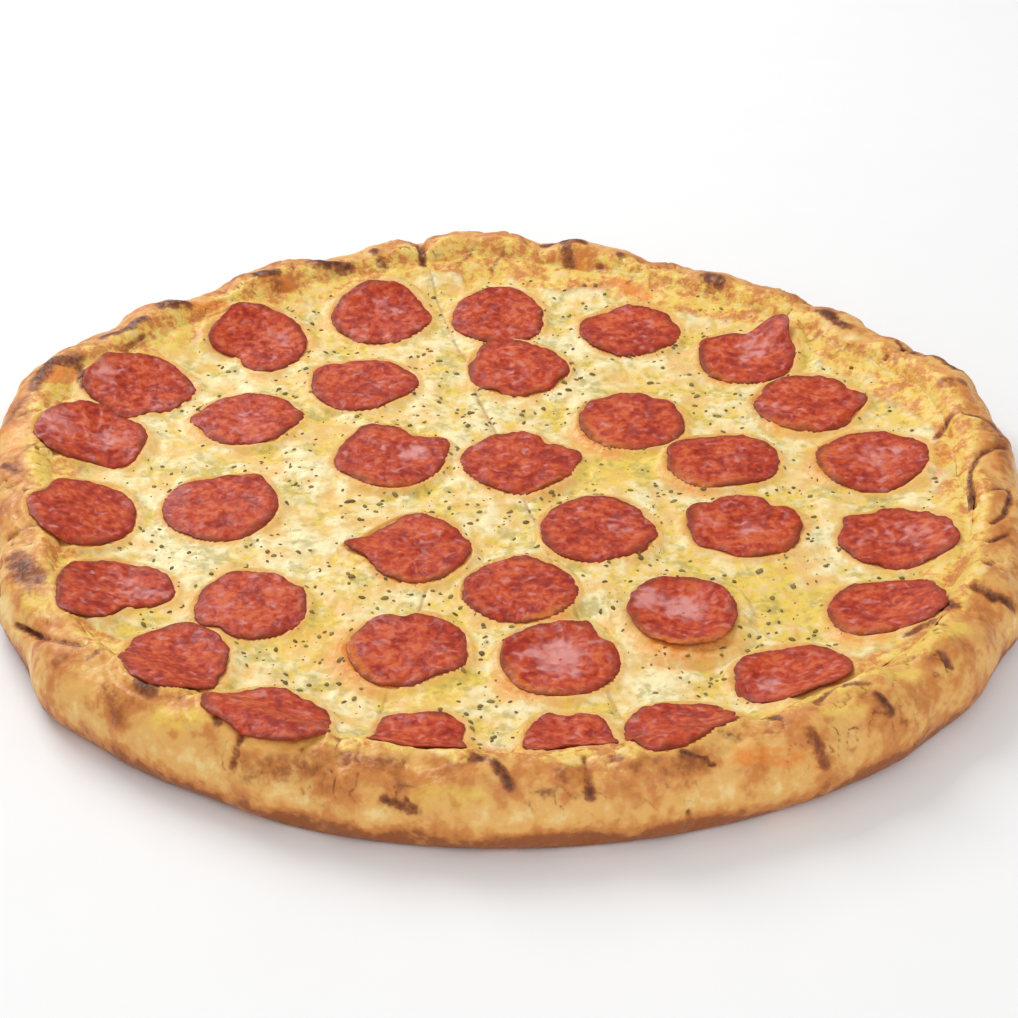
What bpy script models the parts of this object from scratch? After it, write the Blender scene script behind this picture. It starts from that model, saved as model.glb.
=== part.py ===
"""A whole baked pizza: a risen dough crust, melted cheese with herb flakes, and thin round meat slices.

The origin is the middle of the flat underside, +Z is up and +Y points away from the diner.
Lengths below are in millimetres and bearings in degrees, anticlockwise from +X.
"""

import math

import bmesh
import bpy
import numpy as np
from mathutils import Vector
from mathutils.bvhtree import BVHTree

MM = 0.001

# The crust
DOUGH_RADIUS = 177.0
RIM_HEIGHT = 24.5
BULGE_HEIGHT = 10.0
CROWN_INSET = 16.0
SLOPE_END = 34.0
WELL_HEIGHT = 6.5
FOOT_INSET = 5.2
CRUST_STEPS = 120

# Broad swells of the outline and of the rim's height: bearing, half width, how far out or up
OUTLINE_SWELLS = (
    (16, 12, 2.6),
    (35.5, 5.5, -5.0),
    (60, 22, -8.0),
    (84, 5, -1.5),
    (97, 20, 4.0),
    (112, 8, -3.2),
    (132, 5, -1.2),
    (146, 14, 3.0),
    (164, 12, 8.0),
    (190, 18, -5.0),
    (219, 6, 2.8),
    (237, 26, 3.0),
    (241, 6, -2.0),
    (314, 32, 4.0),
    (322, 14, 1.2),
    (358, 18, -2.0),
)
HEIGHT_SWELLS = (
    (58, 22, -2.0),
    (111, 7, -1.6),
    (125, 18, -0.8),
    (133, 6, -1.4),
    (168, 14, -1.2),
    (205, 10, -1.5),
    (232, 16, 1.0),
    (306, 16, 1.5),
    (20, 12, 1.0),
)

# Folds pinched across the rim: bearing, half width, depth
RIM_FOLDS = (
    (27, 2.6, 2.0),
    (45, 3.0, 1.2),
    (70, 3.0, 1.4),
    (84.5, 2.6, 2.4),
    (101, 2.2, 2.2),
    (131, 2.6, 1.6),
    (146, 2.8, 1.4),
    (166, 3.0, 1.2),
    (195, 3.0, 1.6),
    (213, 3.4, 2.6),
    (251, 2.6, 1.6),
    (260, 2.2, 1.2),
    (278, 2.4, 1.4),
    (288, 2.2, 1.8),
    (316, 3.0, 1.4),
    (329, 3.0, 1.8),
    (343, 2.8, 1.4),
    (358, 2.6, 1.6),
    (11, 3.0, 1.2),
)

# Blisters risen on the rim: bearing, how far in from the outline, radius, height
RIM_BLISTERS = (
    (20, 9, 9, 1.8),
    (38, 9, 9, 1.6),
    (58, 12, 8, 1.2),
    (80, 10, 9, 1.6),
    (120, 11, 8, 0.8),
    (126, 13, 8, 1.0),
    (142, 8, 8, 1.0),
    (158, 9, 10, 2.0),
    (203, 10, 11, 2.0),
    (222, 9, 9, 1.2),
    (245, 7, 8, 1.0),
    (268, 12, 9, 1.8),
    (287, 7, 8, 1.4),
    (301, 8, 8, 2.0),
    (309, 11, 10, 1.8),
    (321, 12, 9, 1.6),
    (335, 10, 10, 1.8),
    (352, 13, 9, 1.6),
)
CORE_INSET = 16.0
RELIEF_FADE = (15.0, 21.0)

# The cheese
CHEESE_TOP = 13.5
CHEESE_RAMP_START = 48.0
CHEESE_RAMP_RUN = 26.0
CHEESE_RAMP_RISE = 6.8
CHEESE_EDGE_INSET = 22.0
# The cheese climbs to the rim in a wide slope, and at the front in a short steep one
RAMP_POWER = 1.5
FRONT_POWER = 2.2
FRONT_BEARING = 268
FRONT_HALF_WIDTH = 44
# A slice that reaches the rim bends over its crown
CROWN_RISE = 12.0
CHEESE_GAP = 0.6
CHEESE_STEPS = 60
CHEESE_RINGS = (22, 44, 66, 86, 104, 118, 128, 136, 143, 149)
CHEESE_BUMPS = 7
CHEESE_BUMP_HEIGHT = 0.16

# Larger herb flakes that lie on the cheese: x, y, length, bearing
NAMED_FLAKES = (
    (-52, -10, 7.0, 175),
    (-42, -12, 4.5, 165),
    (-49, -57, 5.5, 70),
    (-45, -68, 4.5, 160),
    (-38, -68, 4.5, 20),
    (-67, -42, 4.0, 130),
    (-71, 0, 3.5, 60),
    (23, 62, 4.5, 10),
    (6, 46, 4.0, 35),
    (14, 50, 4.0, 100),
    (-12, 46, 4.5, 150),
    (-13, 37, 3.5, 80),
    (-11, 61, 4.0, 20),
    (2, -18, 4.0, 65),
    (7, -24, 3.5, 10),
    (32, -59, 4.0, 40),
    (34, -76, 3.5, 110),
    (53, 69, 4.5, 5),
    (57, -11, 4.5, 30),
    (57, -52, 4.0, 150),
    (82, -54, 5.0, 20),
    (92, -62, 4.0, 70),
    (103, -8, 3.5, 120),
    (-24, 84, 4.5, 15),
    (-23, 58, 4.0, 95),
    (32, 74, 4.0, 170),
    (69, 58, 4.0, 45),
    (-17, -68, 3.5, 60),
    (-7, -98, 4.0, 125),
    (-50, -103, 4.5, 20),
    (-45, -120, 4.0, 80),
    (-4, -122, 4.5, 155),
)
SCATTERED_FLAKES = 14
FLAKE_LENGTH = 3.6
FLAKE_THICKNESS = 1.5
FLAKE_CLEARANCE = 4.0
FLAKE_SEED = 11

# The meat slices
SLICE_STEPS = 18
SLICE_THICKNESS = 1.8
SLICE_INNER_RING = 0.6
SLICE_RAMP_RISE = 8.4
SLICE_WAVE = 0.5
TOUCH_GAP = 0.35

# Each slice: x, y, diameter, how high its edge cups,
# the height and bearing of its lifted side, and its dents and tips as bearing, half width, how far out
SLICES = (
    (-47, 116, 36.5, 0.6, 3.0, 90, ((0, 22, 1.0), (88, 40, 3.0))),
    (-91, 96, 37.0, 0.8, 2.0, 100, ((105, 30, 3.0), (232, 20, -7.0), (285, 20, 3.0), (180, 25, 1.0))),
    (-2, 115, 36.0, 0.5, 2.5, 90, ((90, 40, 3.0), (0, 25, -1.5))),
    (47, 106, 37.0, 0.6, 0.0, 0, ((250, 20, 0.8), (150, 14, 1.5))),
    (89, 84, 35.0, 1.2, 3.0, 55, ((85, 16, -3.0), (48, 17, 4.8), (135, 16, 3.0))),
    (4, 77, 36.5, 0.7, 2.4, 95, ((0, 20, 1.8), (180, 30, -1.5))),
    (-51, 65, 37.5, 0.7, 0.0, 0,
     ((140, 22, 3.0), (95, 18, -1.6), (275, 28, -1.6), (315, 20, -2.5), (20, 20, 1.5))),
    (-133, 61, 39.0, 0.7, 0.0, 0,
     ((8, 18, 2.5), (105, 35, -2.8), (160, 30, -3.5), (235, 20, -2.5), (292, 14, -2.2))),
    (-144, 25, 38.0, 0.7, 2.0, 72, ((60, 14, -1.5), (275, 16, -2.0), (318, 16, 2.0), (145, 25, -2.0))),
    (-91, 41, 36.0, 0.7, 0.0, 0, ((8, 15, 1.4), (180, 15, 1.4), (90, 32, -1.5), (270, 32, -1.2))),
    (45, 39, 37.5, 0.8, 0.0, 0, ((140, 25, 0.8), (90, 30, 1.8))),
    (108, 51, 37.0, 0.7, 0.0, 0, ((0, 16, 1.8), (180, 20, 0.8), (90, 30, 1.4))),
    (126, 12, 38.0, 0.7, 0.0, 0, ((52, 12, -2.0), (20, 14, 0.8))),
    (75, 13, 38.0, 0.7, 0.0, 0, ((95, 30, -2.2), (285, 28, -1.8), (5, 20, 1.0), (185, 18, 0.8))),
    (-39, 16, 38.0, 0.9, 0.0, 0,
     ((62, 14, -3.2), (25, 16, 2.0), (115, 22, 2.2), (195, 25, 1.2), (270, 30, 1.4))),
    (5, 12, 38.0, 0.9, 0.0, 0, ((52, 12, -3.4), (12, 15, 2.2), (165, 25, 1.0), (275, 16, 1.2))),
    (-140, -24, 36.0, 0.6, 0.0, 0, ((158, 28, -5.5), (65, 25, 2.4), (268, 38, 5.0))),
    (-95, -16, 38.5, 0.7, 0.0, 0, ((102, 14, -1.2), (60, 18, 4.0), (265, 35, 1.4))),
    (30, -30, 38.0, 0.7, 0.0, 0,
     ((285, 18, -1.2), (322, 12, 1.2), (350, 20, 1.4), (60, 30, 0.6), (180, 20, -1.2))),
    (79, -28, 38.5, 1.0, 0.0, 0, ((52, 14, -3.6), (128, 14, -2.6), (238, 16, -2.2), (5, 16, 1.4))),
    (128, -36, 37.0, 0.7, 0.0, 0, ((112, 12, -2.2), (140, 10, 1.4), (32, 14, -1.6), (325, 20, 2.2))),
    (-29, -42, 36.5, 0.9, 0.0, 0,
     ((175, 11, 5.2), (85, 30, 2.2), (28, 12, -1.6), (210, 18, -1.2), (290, 25, 1.2))),
    (-122, -69, 36.5, 0.8, 0.0, 0, ((105, 34, 2.4), (238, 24, 6.0), (298, 32, -10.0), (335, 22, -4.5))),
    (-80, -74, 36.0, 0.7, 0.0, 0, ((90, 36, 2.2), (236, 14, -3.0))),
    (5, -65, 36.0, 0.8, 0.0, 0, ((200, 20, 0.8),)),
    (56, -79, 34.0, 3.4, 0.0, 0, ((90, 40, 1.4), (0, 22, -1.4), (270, 45, 3.4))),
    (120, -77, 37.5, 0.8, 0.0, 0, ((15, 20, -2.6), (98, 38, -3.2), (278, 38, -3.4), (60, 12, 1.0))),
    (-30, -97, 38.0, 0.8, 0.0, 0, ((95, 12, -3.6), (245, 14, 1.8), (300, 22, -1.6))),
    (17, -103, 36.5, 1.6, 1.8, 110, ((42, 12, -2.4), (70, 14, 1.2))),
    (-100, -108, 36.0, 0.7, 2.7, 42,
     ((0, 25, -2.0), (85, 32, 4.2), (180, 30, -3.5), (215, 14, -1.0), (270, 35, 6.0))),
    (-69, -138, 38.0, 0.4, 1.6, 60, ((55, 32, -2.0), (310, 24, 5.2), (350, 16, -2.0), (228, 24, -3.0))),
    (87, -112, 37.0, 0.8, 0.0, 0, ((120, 35, -2.8), (300, 35, -3.0))),
    (52, -140, 34.5, 0.5, 0.0, 0, ((100, 35, -2.4), (243, 26, 7.8), (310, 26, -4.0), (6, 15, -2.6))),
    (-25, -142, 33.0, 0.7, 0.0, 0,
     ((90, 40, -3.8), (0, 22, -3.0), (175, 25, -3.4), (270, 45, -4.6), (322, 20, 1.4))),
    (19, -142, 32.0, 0.7, 0.0, 0,
     ((90, 42, -3.4), (28, 22, -1.8), (152, 22, -2.0), (0, 25, -2.6), (180, 22, -2.2), (262, 40, -5.5))),
)

CRUST_COLOUR = (0.66, 0.39, 0.13, 1.0)
CHEESE_COLOUR = (0.90, 0.72, 0.33, 1.0)
SLICE_COLOUR = (0.52, 0.08, 0.05, 1.0)


def swell(bearing, at, half_width):
    """A smooth bump, 1 high, centred on one bearing."""
    away = (bearing - at + 180.0) % 360.0 - 180.0
    return np.exp(-((away / half_width) ** 2))


def smooth_step(low, high, value):
    """Rises smoothly from 0 at low to 1 at high."""
    share = np.clip((value - low) / (high - low), 0.0, 1.0)
    return share * share * (3.0 - 2.0 * share)


def outline_offset(bearing):
    """How far the real outline lies outside the mean one."""
    return sum(out * swell(bearing, at, half) for at, half, out in OUTLINE_SWELLS)


def height_offset(bearing):
    """How far the rim's top lies above its mean height."""
    return sum(up * swell(bearing, at, half) for at, half, up in HEIGHT_SWELLS)


def rim_share(radius):
    """0 over the middle of the pizza, 1 at the rim."""
    return smooth_step(95.0, 150.0, radius)


def rim_lift(radius, bearing, height):
    """How far the rim's swells raise a place that lies at this height on the mean rim."""
    height_share = np.clip((height - WELL_HEIGHT) / (RIM_HEIGHT - WELL_HEIGHT), 0.0, 1.0)
    return rim_share(radius) * height_share * height_offset(bearing)


def follow_outline(points):
    """Moves points of a turned shape out and up with the swells of the rim."""
    radius = np.hypot(points[:, 0], points[:, 1])
    bearing = np.degrees(np.arctan2(points[:, 1], points[:, 0]))
    moved_radius = radius + rim_share(radius) * outline_offset(bearing)
    height = points[:, 2] + rim_lift(radius, bearing, points[:, 2])
    angle = np.radians(bearing)
    return np.column_stack((moved_radius * np.cos(angle), moved_radius * np.sin(angle), height))


def inset_at(x, y):
    """How far a place lies in from the outline."""
    radius = np.hypot(x, y)
    bearing = np.degrees(np.arctan2(y, x))
    return DOUGH_RADIUS + rim_share(radius) * outline_offset(bearing) - radius


def ramp(inset, bearing, rise):
    """The top of the cheese: level in the middle, climbing towards the rim."""
    share = np.clip((CHEESE_RAMP_START - inset) / CHEESE_RAMP_RUN, 0.0, None)
    power = RAMP_POWER + FRONT_POWER * swell(bearing, FRONT_BEARING, FRONT_HALF_WIDTH)
    climb = rise * share**power
    return CHEESE_TOP + climb / (1.0 + (climb / CROWN_RISE) ** 4) ** 0.25


def rim_section():
    """The crust's section from the well's middle over the crown to the foot, as radius and height."""
    section = [(0.0, WELL_HEIGHT)]
    for share in (1.0, 0.8, 0.6, 0.45, 0.3, 0.15, 0.0):
        inset = CROWN_INSET + (SLOPE_END - CROWN_INSET) * share
        rise = 0.5 + 0.5 * math.cos(math.pi * share**0.9)
        section.append((DOUGH_RADIUS - inset, WELL_HEIGHT + (RIM_HEIGHT - WELL_HEIGHT) * rise))
    for angle in (70, 50, 30, 12):
        turn = math.radians(angle)
        inset = CROWN_INSET * (1.0 - math.cos(turn) ** 0.8)
        height = BULGE_HEIGHT + (RIM_HEIGHT - BULGE_HEIGHT) * math.sin(turn)
        section.append((DOUGH_RADIUS - inset, height))
    for angle in (-8, -32, -60):
        turn = math.radians(angle)
        inset = 2.0 * FOOT_INSET * (1.0 - math.cos(turn))
        height = BULGE_HEIGHT * (1.0 + math.sin(turn) / math.sin(math.radians(60)))
        section.append((DOUGH_RADIUS - inset, height))
    section.append((0.0, 0.0))
    return section


def cheese_section():
    """The cheese's section from its middle out to its edge, still level, and back underneath."""
    edge = DOUGH_RADIUS - CHEESE_EDGE_INSET
    section = [(radius, CHEESE_TOP) for radius in (0.0, *CHEESE_RINGS, edge)]
    under = [point for point in rim_section()[1:7] if point[0] < edge]
    for radius, height in reversed(under):
        section.append((radius - CHEESE_GAP / 2.0, height + CHEESE_GAP))
    section.append((0.0, WELL_HEIGHT + CHEESE_GAP))
    return section


def turned_mesh(name, section, steps):
    """Turns a section given from the top of the axis outwards, and returns the closed mesh."""
    profile = bpy.data.meshes.new(name + "_profile")
    corners = [(radius * MM, 0.0, height * MM) for radius, height in section]
    profile.from_pydata(corners, [(i, i + 1) for i in range(len(corners) - 1)], [])
    guide = bpy.data.objects.new(name + "_profile", profile)
    bpy.context.scene.collection.objects.link(guide)
    screw = guide.modifiers.new("Screw", "SCREW")
    screw.steps = steps
    screw.render_steps = steps
    screw.use_merge_vertices = True
    screw.merge_threshold = 0.00005
    screw.use_smooth_shade = True
    bpy.context.view_layer.update()
    evaluated = guide.evaluated_get(bpy.context.evaluated_depsgraph_get())
    mesh = bpy.data.meshes.new_from_object(evaluated)
    mesh.name = name
    bpy.data.objects.remove(guide)
    bpy.data.meshes.remove(profile)
    return mesh


def mesh_points(mesh):
    """The mesh's vertices in millimetres."""
    flat = np.empty(len(mesh.vertices) * 3)
    mesh.vertices.foreach_get("co", flat)
    return flat.reshape(-1, 3) / MM


def set_points(mesh, points):
    """Writes vertices given in millimetres."""
    mesh.vertices.foreach_set("co", (points * MM).ravel())
    mesh.update()


def make_material(name, colour, roughness):
    """A plain material of one colour."""
    material = bpy.data.materials.new(name)
    material.use_nodes = True
    shader = material.node_tree.nodes["Principled BSDF"]
    shader.inputs["Base Color"].default_value = colour
    shader.inputs["Roughness"].default_value = roughness
    shader.inputs["Metallic"].default_value = 0.0
    return material


def add_object(name, mesh, material, collection):
    """Puts a mesh in the scene under its own name."""
    mesh.materials.clear()
    mesh.materials.append(material)
    obj = bpy.data.objects.new(name, mesh)
    collection.objects.link(obj)
    return obj


def rim_relief(bearing, inset, radius):
    """How far the rim stands out at blisters, and in at folds."""
    push = -sum(depth * swell(bearing, at, half) for at, half, depth in RIM_FOLDS)
    for at, middle, size, height in RIM_BLISTERS:
        across = np.radians((bearing - at + 180.0) % 360.0 - 180.0) * radius
        push = push + height * np.exp(-(across**2 + (inset - middle) ** 2) / size**2)
    return push


def crust_mesh():
    """The dough: turned, swollen along its outline, then pushed out at blisters and in at folds."""
    mesh = turned_mesh("crust", rim_section(), CRUST_STEPS)
    turned = mesh_points(mesh)
    points = follow_outline(turned)
    radius = np.hypot(points[:, 0], points[:, 1])
    bearing = np.degrees(np.arctan2(points[:, 1], points[:, 0]))
    inset = DOUGH_RADIUS - np.hypot(turned[:, 0], turned[:, 1])
    shown = smooth_step(0.5, 6.0, turned[:, 2]) * (1.0 - smooth_step(*RELIEF_FADE, inset))
    push = shown * rim_relief(bearing, inset, radius)
    outward = CORE_INSET - inset
    upward = turned[:, 2] - BULGE_HEIGHT
    length = np.hypot(outward, upward) + 1e-6
    scale = 1.0 + push * outward / length / np.maximum(radius, 1.0)
    points[:, 0] *= scale
    points[:, 1] *= scale
    points[:, 2] += push * upward / length
    points[:, 2] = np.where(turned[:, 2] < 0.01, 0.0, points[:, 2])
    set_points(mesh, points)
    return mesh


def cheese_bumps(x, y):
    """Low waves of the melted cheese."""
    height = np.zeros_like(x)
    for wave in range(CHEESE_BUMPS):
        turn = 2.4 * wave
        length = 26.0 + 5.0 * wave
        along = x * math.cos(turn) + y * math.sin(turn)
        height += CHEESE_BUMP_HEIGHT * np.sin(2.0 * math.pi * along / length + 1.7 * wave)
    return height


def cheese_mesh():
    """The cheese: turned, swollen with the rim, with low waves on its top."""
    mesh = turned_mesh("cheese", cheese_section(), CHEESE_STEPS)
    turned = mesh_points(mesh)
    inset = DOUGH_RADIUS - np.hypot(turned[:, 0], turned[:, 1])
    bearing = np.degrees(np.arctan2(turned[:, 1], turned[:, 0]))
    on_top = np.abs(turned[:, 2] - CHEESE_TOP) < 0.01
    turned[:, 2] = np.where(on_top, ramp(inset, bearing, CHEESE_RAMP_RISE), turned[:, 2])
    points = follow_outline(turned)
    inside = on_top & (inset > CHEESE_EDGE_INSET + 4.0)
    points[:, 2] += inside * cheese_bumps(points[:, 0], points[:, 1])
    set_points(mesh, points)
    return mesh


def flake_places():
    """Every herb flake: the named ones, then more at seeded places between the slices."""
    places = list(NAMED_FLAKES)
    draw = np.random.default_rng(FLAKE_SEED)
    while len(places) < len(NAMED_FLAKES) + SCATTERED_FLAKES:
        x, y = draw.uniform(-128.0, 128.0, 2)
        length = FLAKE_LENGTH * draw.uniform(0.85, 1.2)
        turn = draw.uniform(0.0, 180.0)
        crowded = any(math.hypot(x - other[0], y - other[1]) < 16.0 for other in places)
        if math.hypot(x, y) < 128.0 and clear_of_slices(x, y, length) and not crowded:
            places.append((x, y, length, turn))
    return [place for place in places if clear_of_slices(*place[:3])]


def clear_of_slices(x, y, length):
    """Whether a flake of this length lies clear of every slice."""
    return all(
        math.hypot(x - item[0], y - item[1]) > item[2] / 2.0 + length / 2.0 + FLAKE_CLEARANCE / 2.0
        for item in SLICES
    )


def add_flakes(collection, cheese):
    """Small flat leaves, half sunk in the cheese."""
    bpy.context.view_layer.update()
    for index, (x, y, length, turn) in enumerate(flake_places()):
        found, spot, normal, _ = cheese.ray_cast(Vector((x * MM, y * MM, 0.05)), Vector((0.0, 0.0, -1.0)))
        if not found:
            continue
        mesh = bpy.data.meshes.new(f"flake_{index:02d}")
        shape = bmesh.new()
        bmesh.ops.create_icosphere(shape, subdivisions=1, radius=0.5)
        shape.to_mesh(mesh)
        shape.free()
        flake = bpy.data.objects.new(mesh.name, mesh)
        flake.location = spot
        flake.rotation_euler = (0.0, 0.0, math.radians(turn))
        flake.scale = (length * MM, 0.55 * length * MM, FLAKE_THICKNESS * MM)
        flake.hide_render = True
        flake.display_type = "WIRE"
        collection.objects.link(flake)


def fuse_flakes(cheese, collection):
    """Joins all the flakes to the cheese in one union, then removes them."""
    union = cheese.modifiers.new("Flakes", "BOOLEAN")
    union.operation = "UNION"
    union.operand_type = "COLLECTION"
    union.collection = collection
    union.solver = "EXACT"
    bpy.context.view_layer.update()
    evaluated = cheese.evaluated_get(bpy.context.evaluated_depsgraph_get())
    joined = bpy.data.meshes.new_from_object(evaluated)
    plain = cheese.data
    cheese.modifiers.remove(union)
    cheese.data = joined
    joined.name = "cheese"
    bpy.data.meshes.remove(plain)
    for flake in list(collection.objects):
        bpy.data.meshes.remove(flake.data)
    bpy.data.collections.remove(collection)


def slice_section():
    """Half of a thin coin: radius as a share of the slice's, height as a share of its thickness."""
    return [(0.0, 1.0), (SLICE_INNER_RING, 1.0), (1.0, 1.0), (1.0, 0.0), (SLICE_INNER_RING, 0.0), (0.0, 0.0)]


def bend_slice(coin, place, order):
    """Shapes one coin: its outline, its cupped and lifted edge, and the bend of what lies below."""
    x, y, diameter, cup, lift, lift_at, marks = place
    share = np.hypot(coin[:, 0], coin[:, 1])
    bearing = np.degrees(np.arctan2(coin[:, 1], coin[:, 0]))
    reach = diameter / 2.0 + sum(out * swell(bearing, at, half) for at, half, out in marks)
    angle = np.radians(bearing)
    px = x + share * reach * np.cos(angle)
    py = y + share * reach * np.sin(angle)
    wave = SLICE_WAVE * share**2 * np.cos(3.0 * angle + 2.1 * order)
    side = share * np.cos(np.radians(bearing - lift_at))
    raised = lift * np.clip(0.5 + 0.5 * side, 0.0, 1.0) ** 1.5
    edge_round = 0.12 * SLICE_THICKNESS * share**6
    place_bearing = np.degrees(np.arctan2(py, px))
    height = ramp(inset_at(px, py), place_bearing, SLICE_RAMP_RISE)
    height += rim_lift(np.hypot(px, py), place_bearing, height)
    height += wave + cup * share**2 + raised
    on_top = coin[:, 2] > 0.5
    height += np.where(on_top, SLICE_THICKNESS - edge_round, edge_round)
    return np.column_stack((px, py, height))


def tree_of(points, faces):
    """The search tree of a mesh."""
    return BVHTree.FromPolygons([Vector(point) for point in points], faces)


def test_points(points, faces):
    """The corners, edge middles and face middles of a mesh."""
    middles = [points[list(face)].mean(axis=0) for face in faces]
    edges = {tuple(sorted(pair)) for face in faces for pair in zip(face, face[1:] + face[:1])}
    halves = [(points[a] + points[b]) / 2.0 for a, b in sorted(edges)]
    return np.vstack((points, middles, halves))


def smallest_drop(upper, upper_faces, lower, lower_faces, lower_tests):
    """The least height between an upper mesh and the one below it."""
    lower_tree = tree_of(lower, lower_faces)
    upper_tree = tree_of(upper, upper_faces)
    drops = []
    for point in test_points(upper, upper_faces):
        hit = lower_tree.ray_cast(Vector((point[0], point[1], 200.0)), Vector((0.0, 0.0, -1.0)))[0]
        if hit is not None:
            drops.append(point[2] - hit.z)
    low = upper[:, :2].min(axis=0)
    high = upper[:, :2].max(axis=0)
    near = ((lower_tests[:, :2] > low) & (lower_tests[:, :2] < high)).all(axis=1)
    for point in lower_tests[near]:
        hit = upper_tree.ray_cast(Vector((point[0], point[1], -200.0)), Vector((0.0, 0.0, 1.0)))[0]
        if hit is not None:
            drops.append(hit.z - point[2])
    return min(drops)


def add_slices(collection, material, below):
    """Lays the slices down one by one, each just clear of all that lies below it."""
    coin = turned_mesh("coin", slice_section(), SLICE_STEPS)
    coin_points = mesh_points(coin)
    faces = [tuple(face.vertices) for face in coin.polygons]
    floor_points = np.vstack([mesh_points(obj.data) for obj in below])
    floor_faces = []
    start = 0
    for obj in below:
        floor_faces += [tuple(start + corner for corner in face.vertices) for face in obj.data.polygons]
        start += len(obj.data.vertices)
    floor_tests = test_points(floor_points, floor_faces)
    for order, place in enumerate(SLICES, 1):
        points = bend_slice(coin_points, place, order)
        drop = smallest_drop(points, faces, floor_points, floor_faces, floor_tests)
        points[:, 2] += TOUCH_GAP - drop
        mesh = coin.copy()
        mesh.name = f"pepperoni_{order:02d}"
        set_points(mesh, points)
        add_object(mesh.name, mesh, material, collection)
        floor_faces += [tuple(len(floor_points) + corner for corner in face) for face in faces]
        floor_points = np.vstack((floor_points, points))
        floor_tests = np.vstack((floor_tests, test_points(points, faces)))
    bpy.data.meshes.remove(coin)


def new_collection(name):
    """An empty collection in the scene."""
    collection = bpy.data.collections.new(name)
    bpy.context.scene.collection.children.link(collection)
    return collection


def main():
    """Clears the scene and builds the pizza."""
    for obj in list(bpy.data.objects):
        bpy.data.objects.remove(obj, do_unlink=True)
    pizza = new_collection("pizza")
    flakes = new_collection("herb_flakes")
    crust = add_object("crust", crust_mesh(), make_material("crust", CRUST_COLOUR, 0.75), pizza)
    cheese = add_object("cheese", cheese_mesh(), make_material("cheese", CHEESE_COLOUR, 0.42), pizza)
    add_flakes(flakes, cheese)
    fuse_flakes(cheese, flakes)
    add_slices(pizza, make_material("pepperoni", SLICE_COLOUR, 0.38), (crust, cheese))


if __name__ == "__main__":
    main()
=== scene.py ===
"""The looks of a whole baked pizza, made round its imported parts.

Each piece is a surface worked out with numpy from named sizes, and stands for the plain part below it.
Lengths in the tables and functions are millimetres, and bearings are degrees, anticlockwise from +X.
"""

import collections
import itertools
import math

import bpy
import numpy as np
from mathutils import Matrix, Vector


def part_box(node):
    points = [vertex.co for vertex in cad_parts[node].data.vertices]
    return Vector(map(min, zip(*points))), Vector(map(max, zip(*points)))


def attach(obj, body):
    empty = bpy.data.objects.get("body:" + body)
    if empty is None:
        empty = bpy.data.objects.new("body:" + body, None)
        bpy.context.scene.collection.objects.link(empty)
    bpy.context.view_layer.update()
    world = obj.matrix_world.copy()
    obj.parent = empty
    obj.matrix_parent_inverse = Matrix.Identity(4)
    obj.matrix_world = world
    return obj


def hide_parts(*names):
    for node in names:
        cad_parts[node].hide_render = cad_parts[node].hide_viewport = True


bl_info = {
    "name": "Baked Pizza",
    "version": (1, 0, 0),
    "blender": (4, 5, 0),
    "location": "View3D > Sidebar > Pizza",
    "description": "Dresses a whole baked pizza: its crust, melted cheese, herb flakes and meat slices",
    "category": "Add Mesh",
}

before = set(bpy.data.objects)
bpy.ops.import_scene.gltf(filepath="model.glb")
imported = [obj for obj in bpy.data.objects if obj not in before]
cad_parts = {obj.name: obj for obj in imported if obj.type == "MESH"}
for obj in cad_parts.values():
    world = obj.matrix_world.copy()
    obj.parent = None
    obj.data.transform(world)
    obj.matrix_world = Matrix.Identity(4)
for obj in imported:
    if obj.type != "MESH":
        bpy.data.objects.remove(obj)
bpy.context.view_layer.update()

MM = 0.001
BODY = "root"

# Half a turn and a turn in degrees, and a distance in millimetres that is beyond any on the pizza
HALF_TURN = 180.0
FULL_TURN = 360.0
FAR = 1000.0

# The lattice noise: numbers that stir a corner's place and seed together, bit masks and shifts, and how much
# lower each finer layer is and how far its seed is from the last one's
STIR_PLACES = (73856093, 19349663, 83492791)
STIR_SEED = 40503
STIR_AGAIN = 1274126177
KEPT_BITS = (0xFFFFFF, 0xFFFFFFFF, 0xFFFF)
BIT_SHIFTS = (13, 15)
LAYER_HEIGHT = 0.55
LAYER_SEED_STEP = 17

# Noises: the size of the lumps in millimetres, the seed and the number of layers
LUMP_NOISE = (12.0, 2, 3)
CRACK_NOISE = (6.5, 9, 2)
CRACK_PATCH_NOISE = (16.0, 31, 1)
CHEESE_EDGE_NOISE = (6.0, 5, 3)
WAVE_NOISE = (9.0, 21, 3)
STRING_NOISE = (5.0, 8, 1)
STRING_BEND_NOISE = (14.0, 3, 1)
BAKED_EDGE_NOISE = (11.0, 52, 1)
SLICE_EDGE_NOISE = (4.0, 6, 4)
SLICE_TOP_NOISE = (4.6, 12, 3)
FLAKE_CROWD_NOISE = (16.0, 44, 1)

# The crust, as in the solid part
DOUGH_RADIUS = 177.0
RIM_HEIGHT = 24.5
BULGE_HEIGHT = 10.0
CROWN_INSET = 16.0
SLOPE_END = 34.0
WELL_HEIGHT = 6.5
FOOT_INSET = 5.2
FOOT_ARC = 60.0
SLOPE_POWER = 0.9
FLANK_POWER = 0.8
SWELL_RADII = (95.0, 150.0)

# The crust's relief: where its core is, and the insets and heights between which the relief comes in
CORE_INSET = 16.0
RELIEF_FADE = (15.0, 21.0)
RELIEF_HEIGHTS = (0.5, 6.0)
LUMP_FADE = (19.0, 25.0)
LUMP_HEIGHTS = (0.5, 4.0)
ROUGH_HEIGHTS = (11.0, 20.0)
ROUGH_LEAST = 0.35
CRACK_SHARPNESS = (0.82, 1.0)
CRACK_PATCHES = (-0.1, 0.5)
BASE_HEIGHT = 0.01

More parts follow.
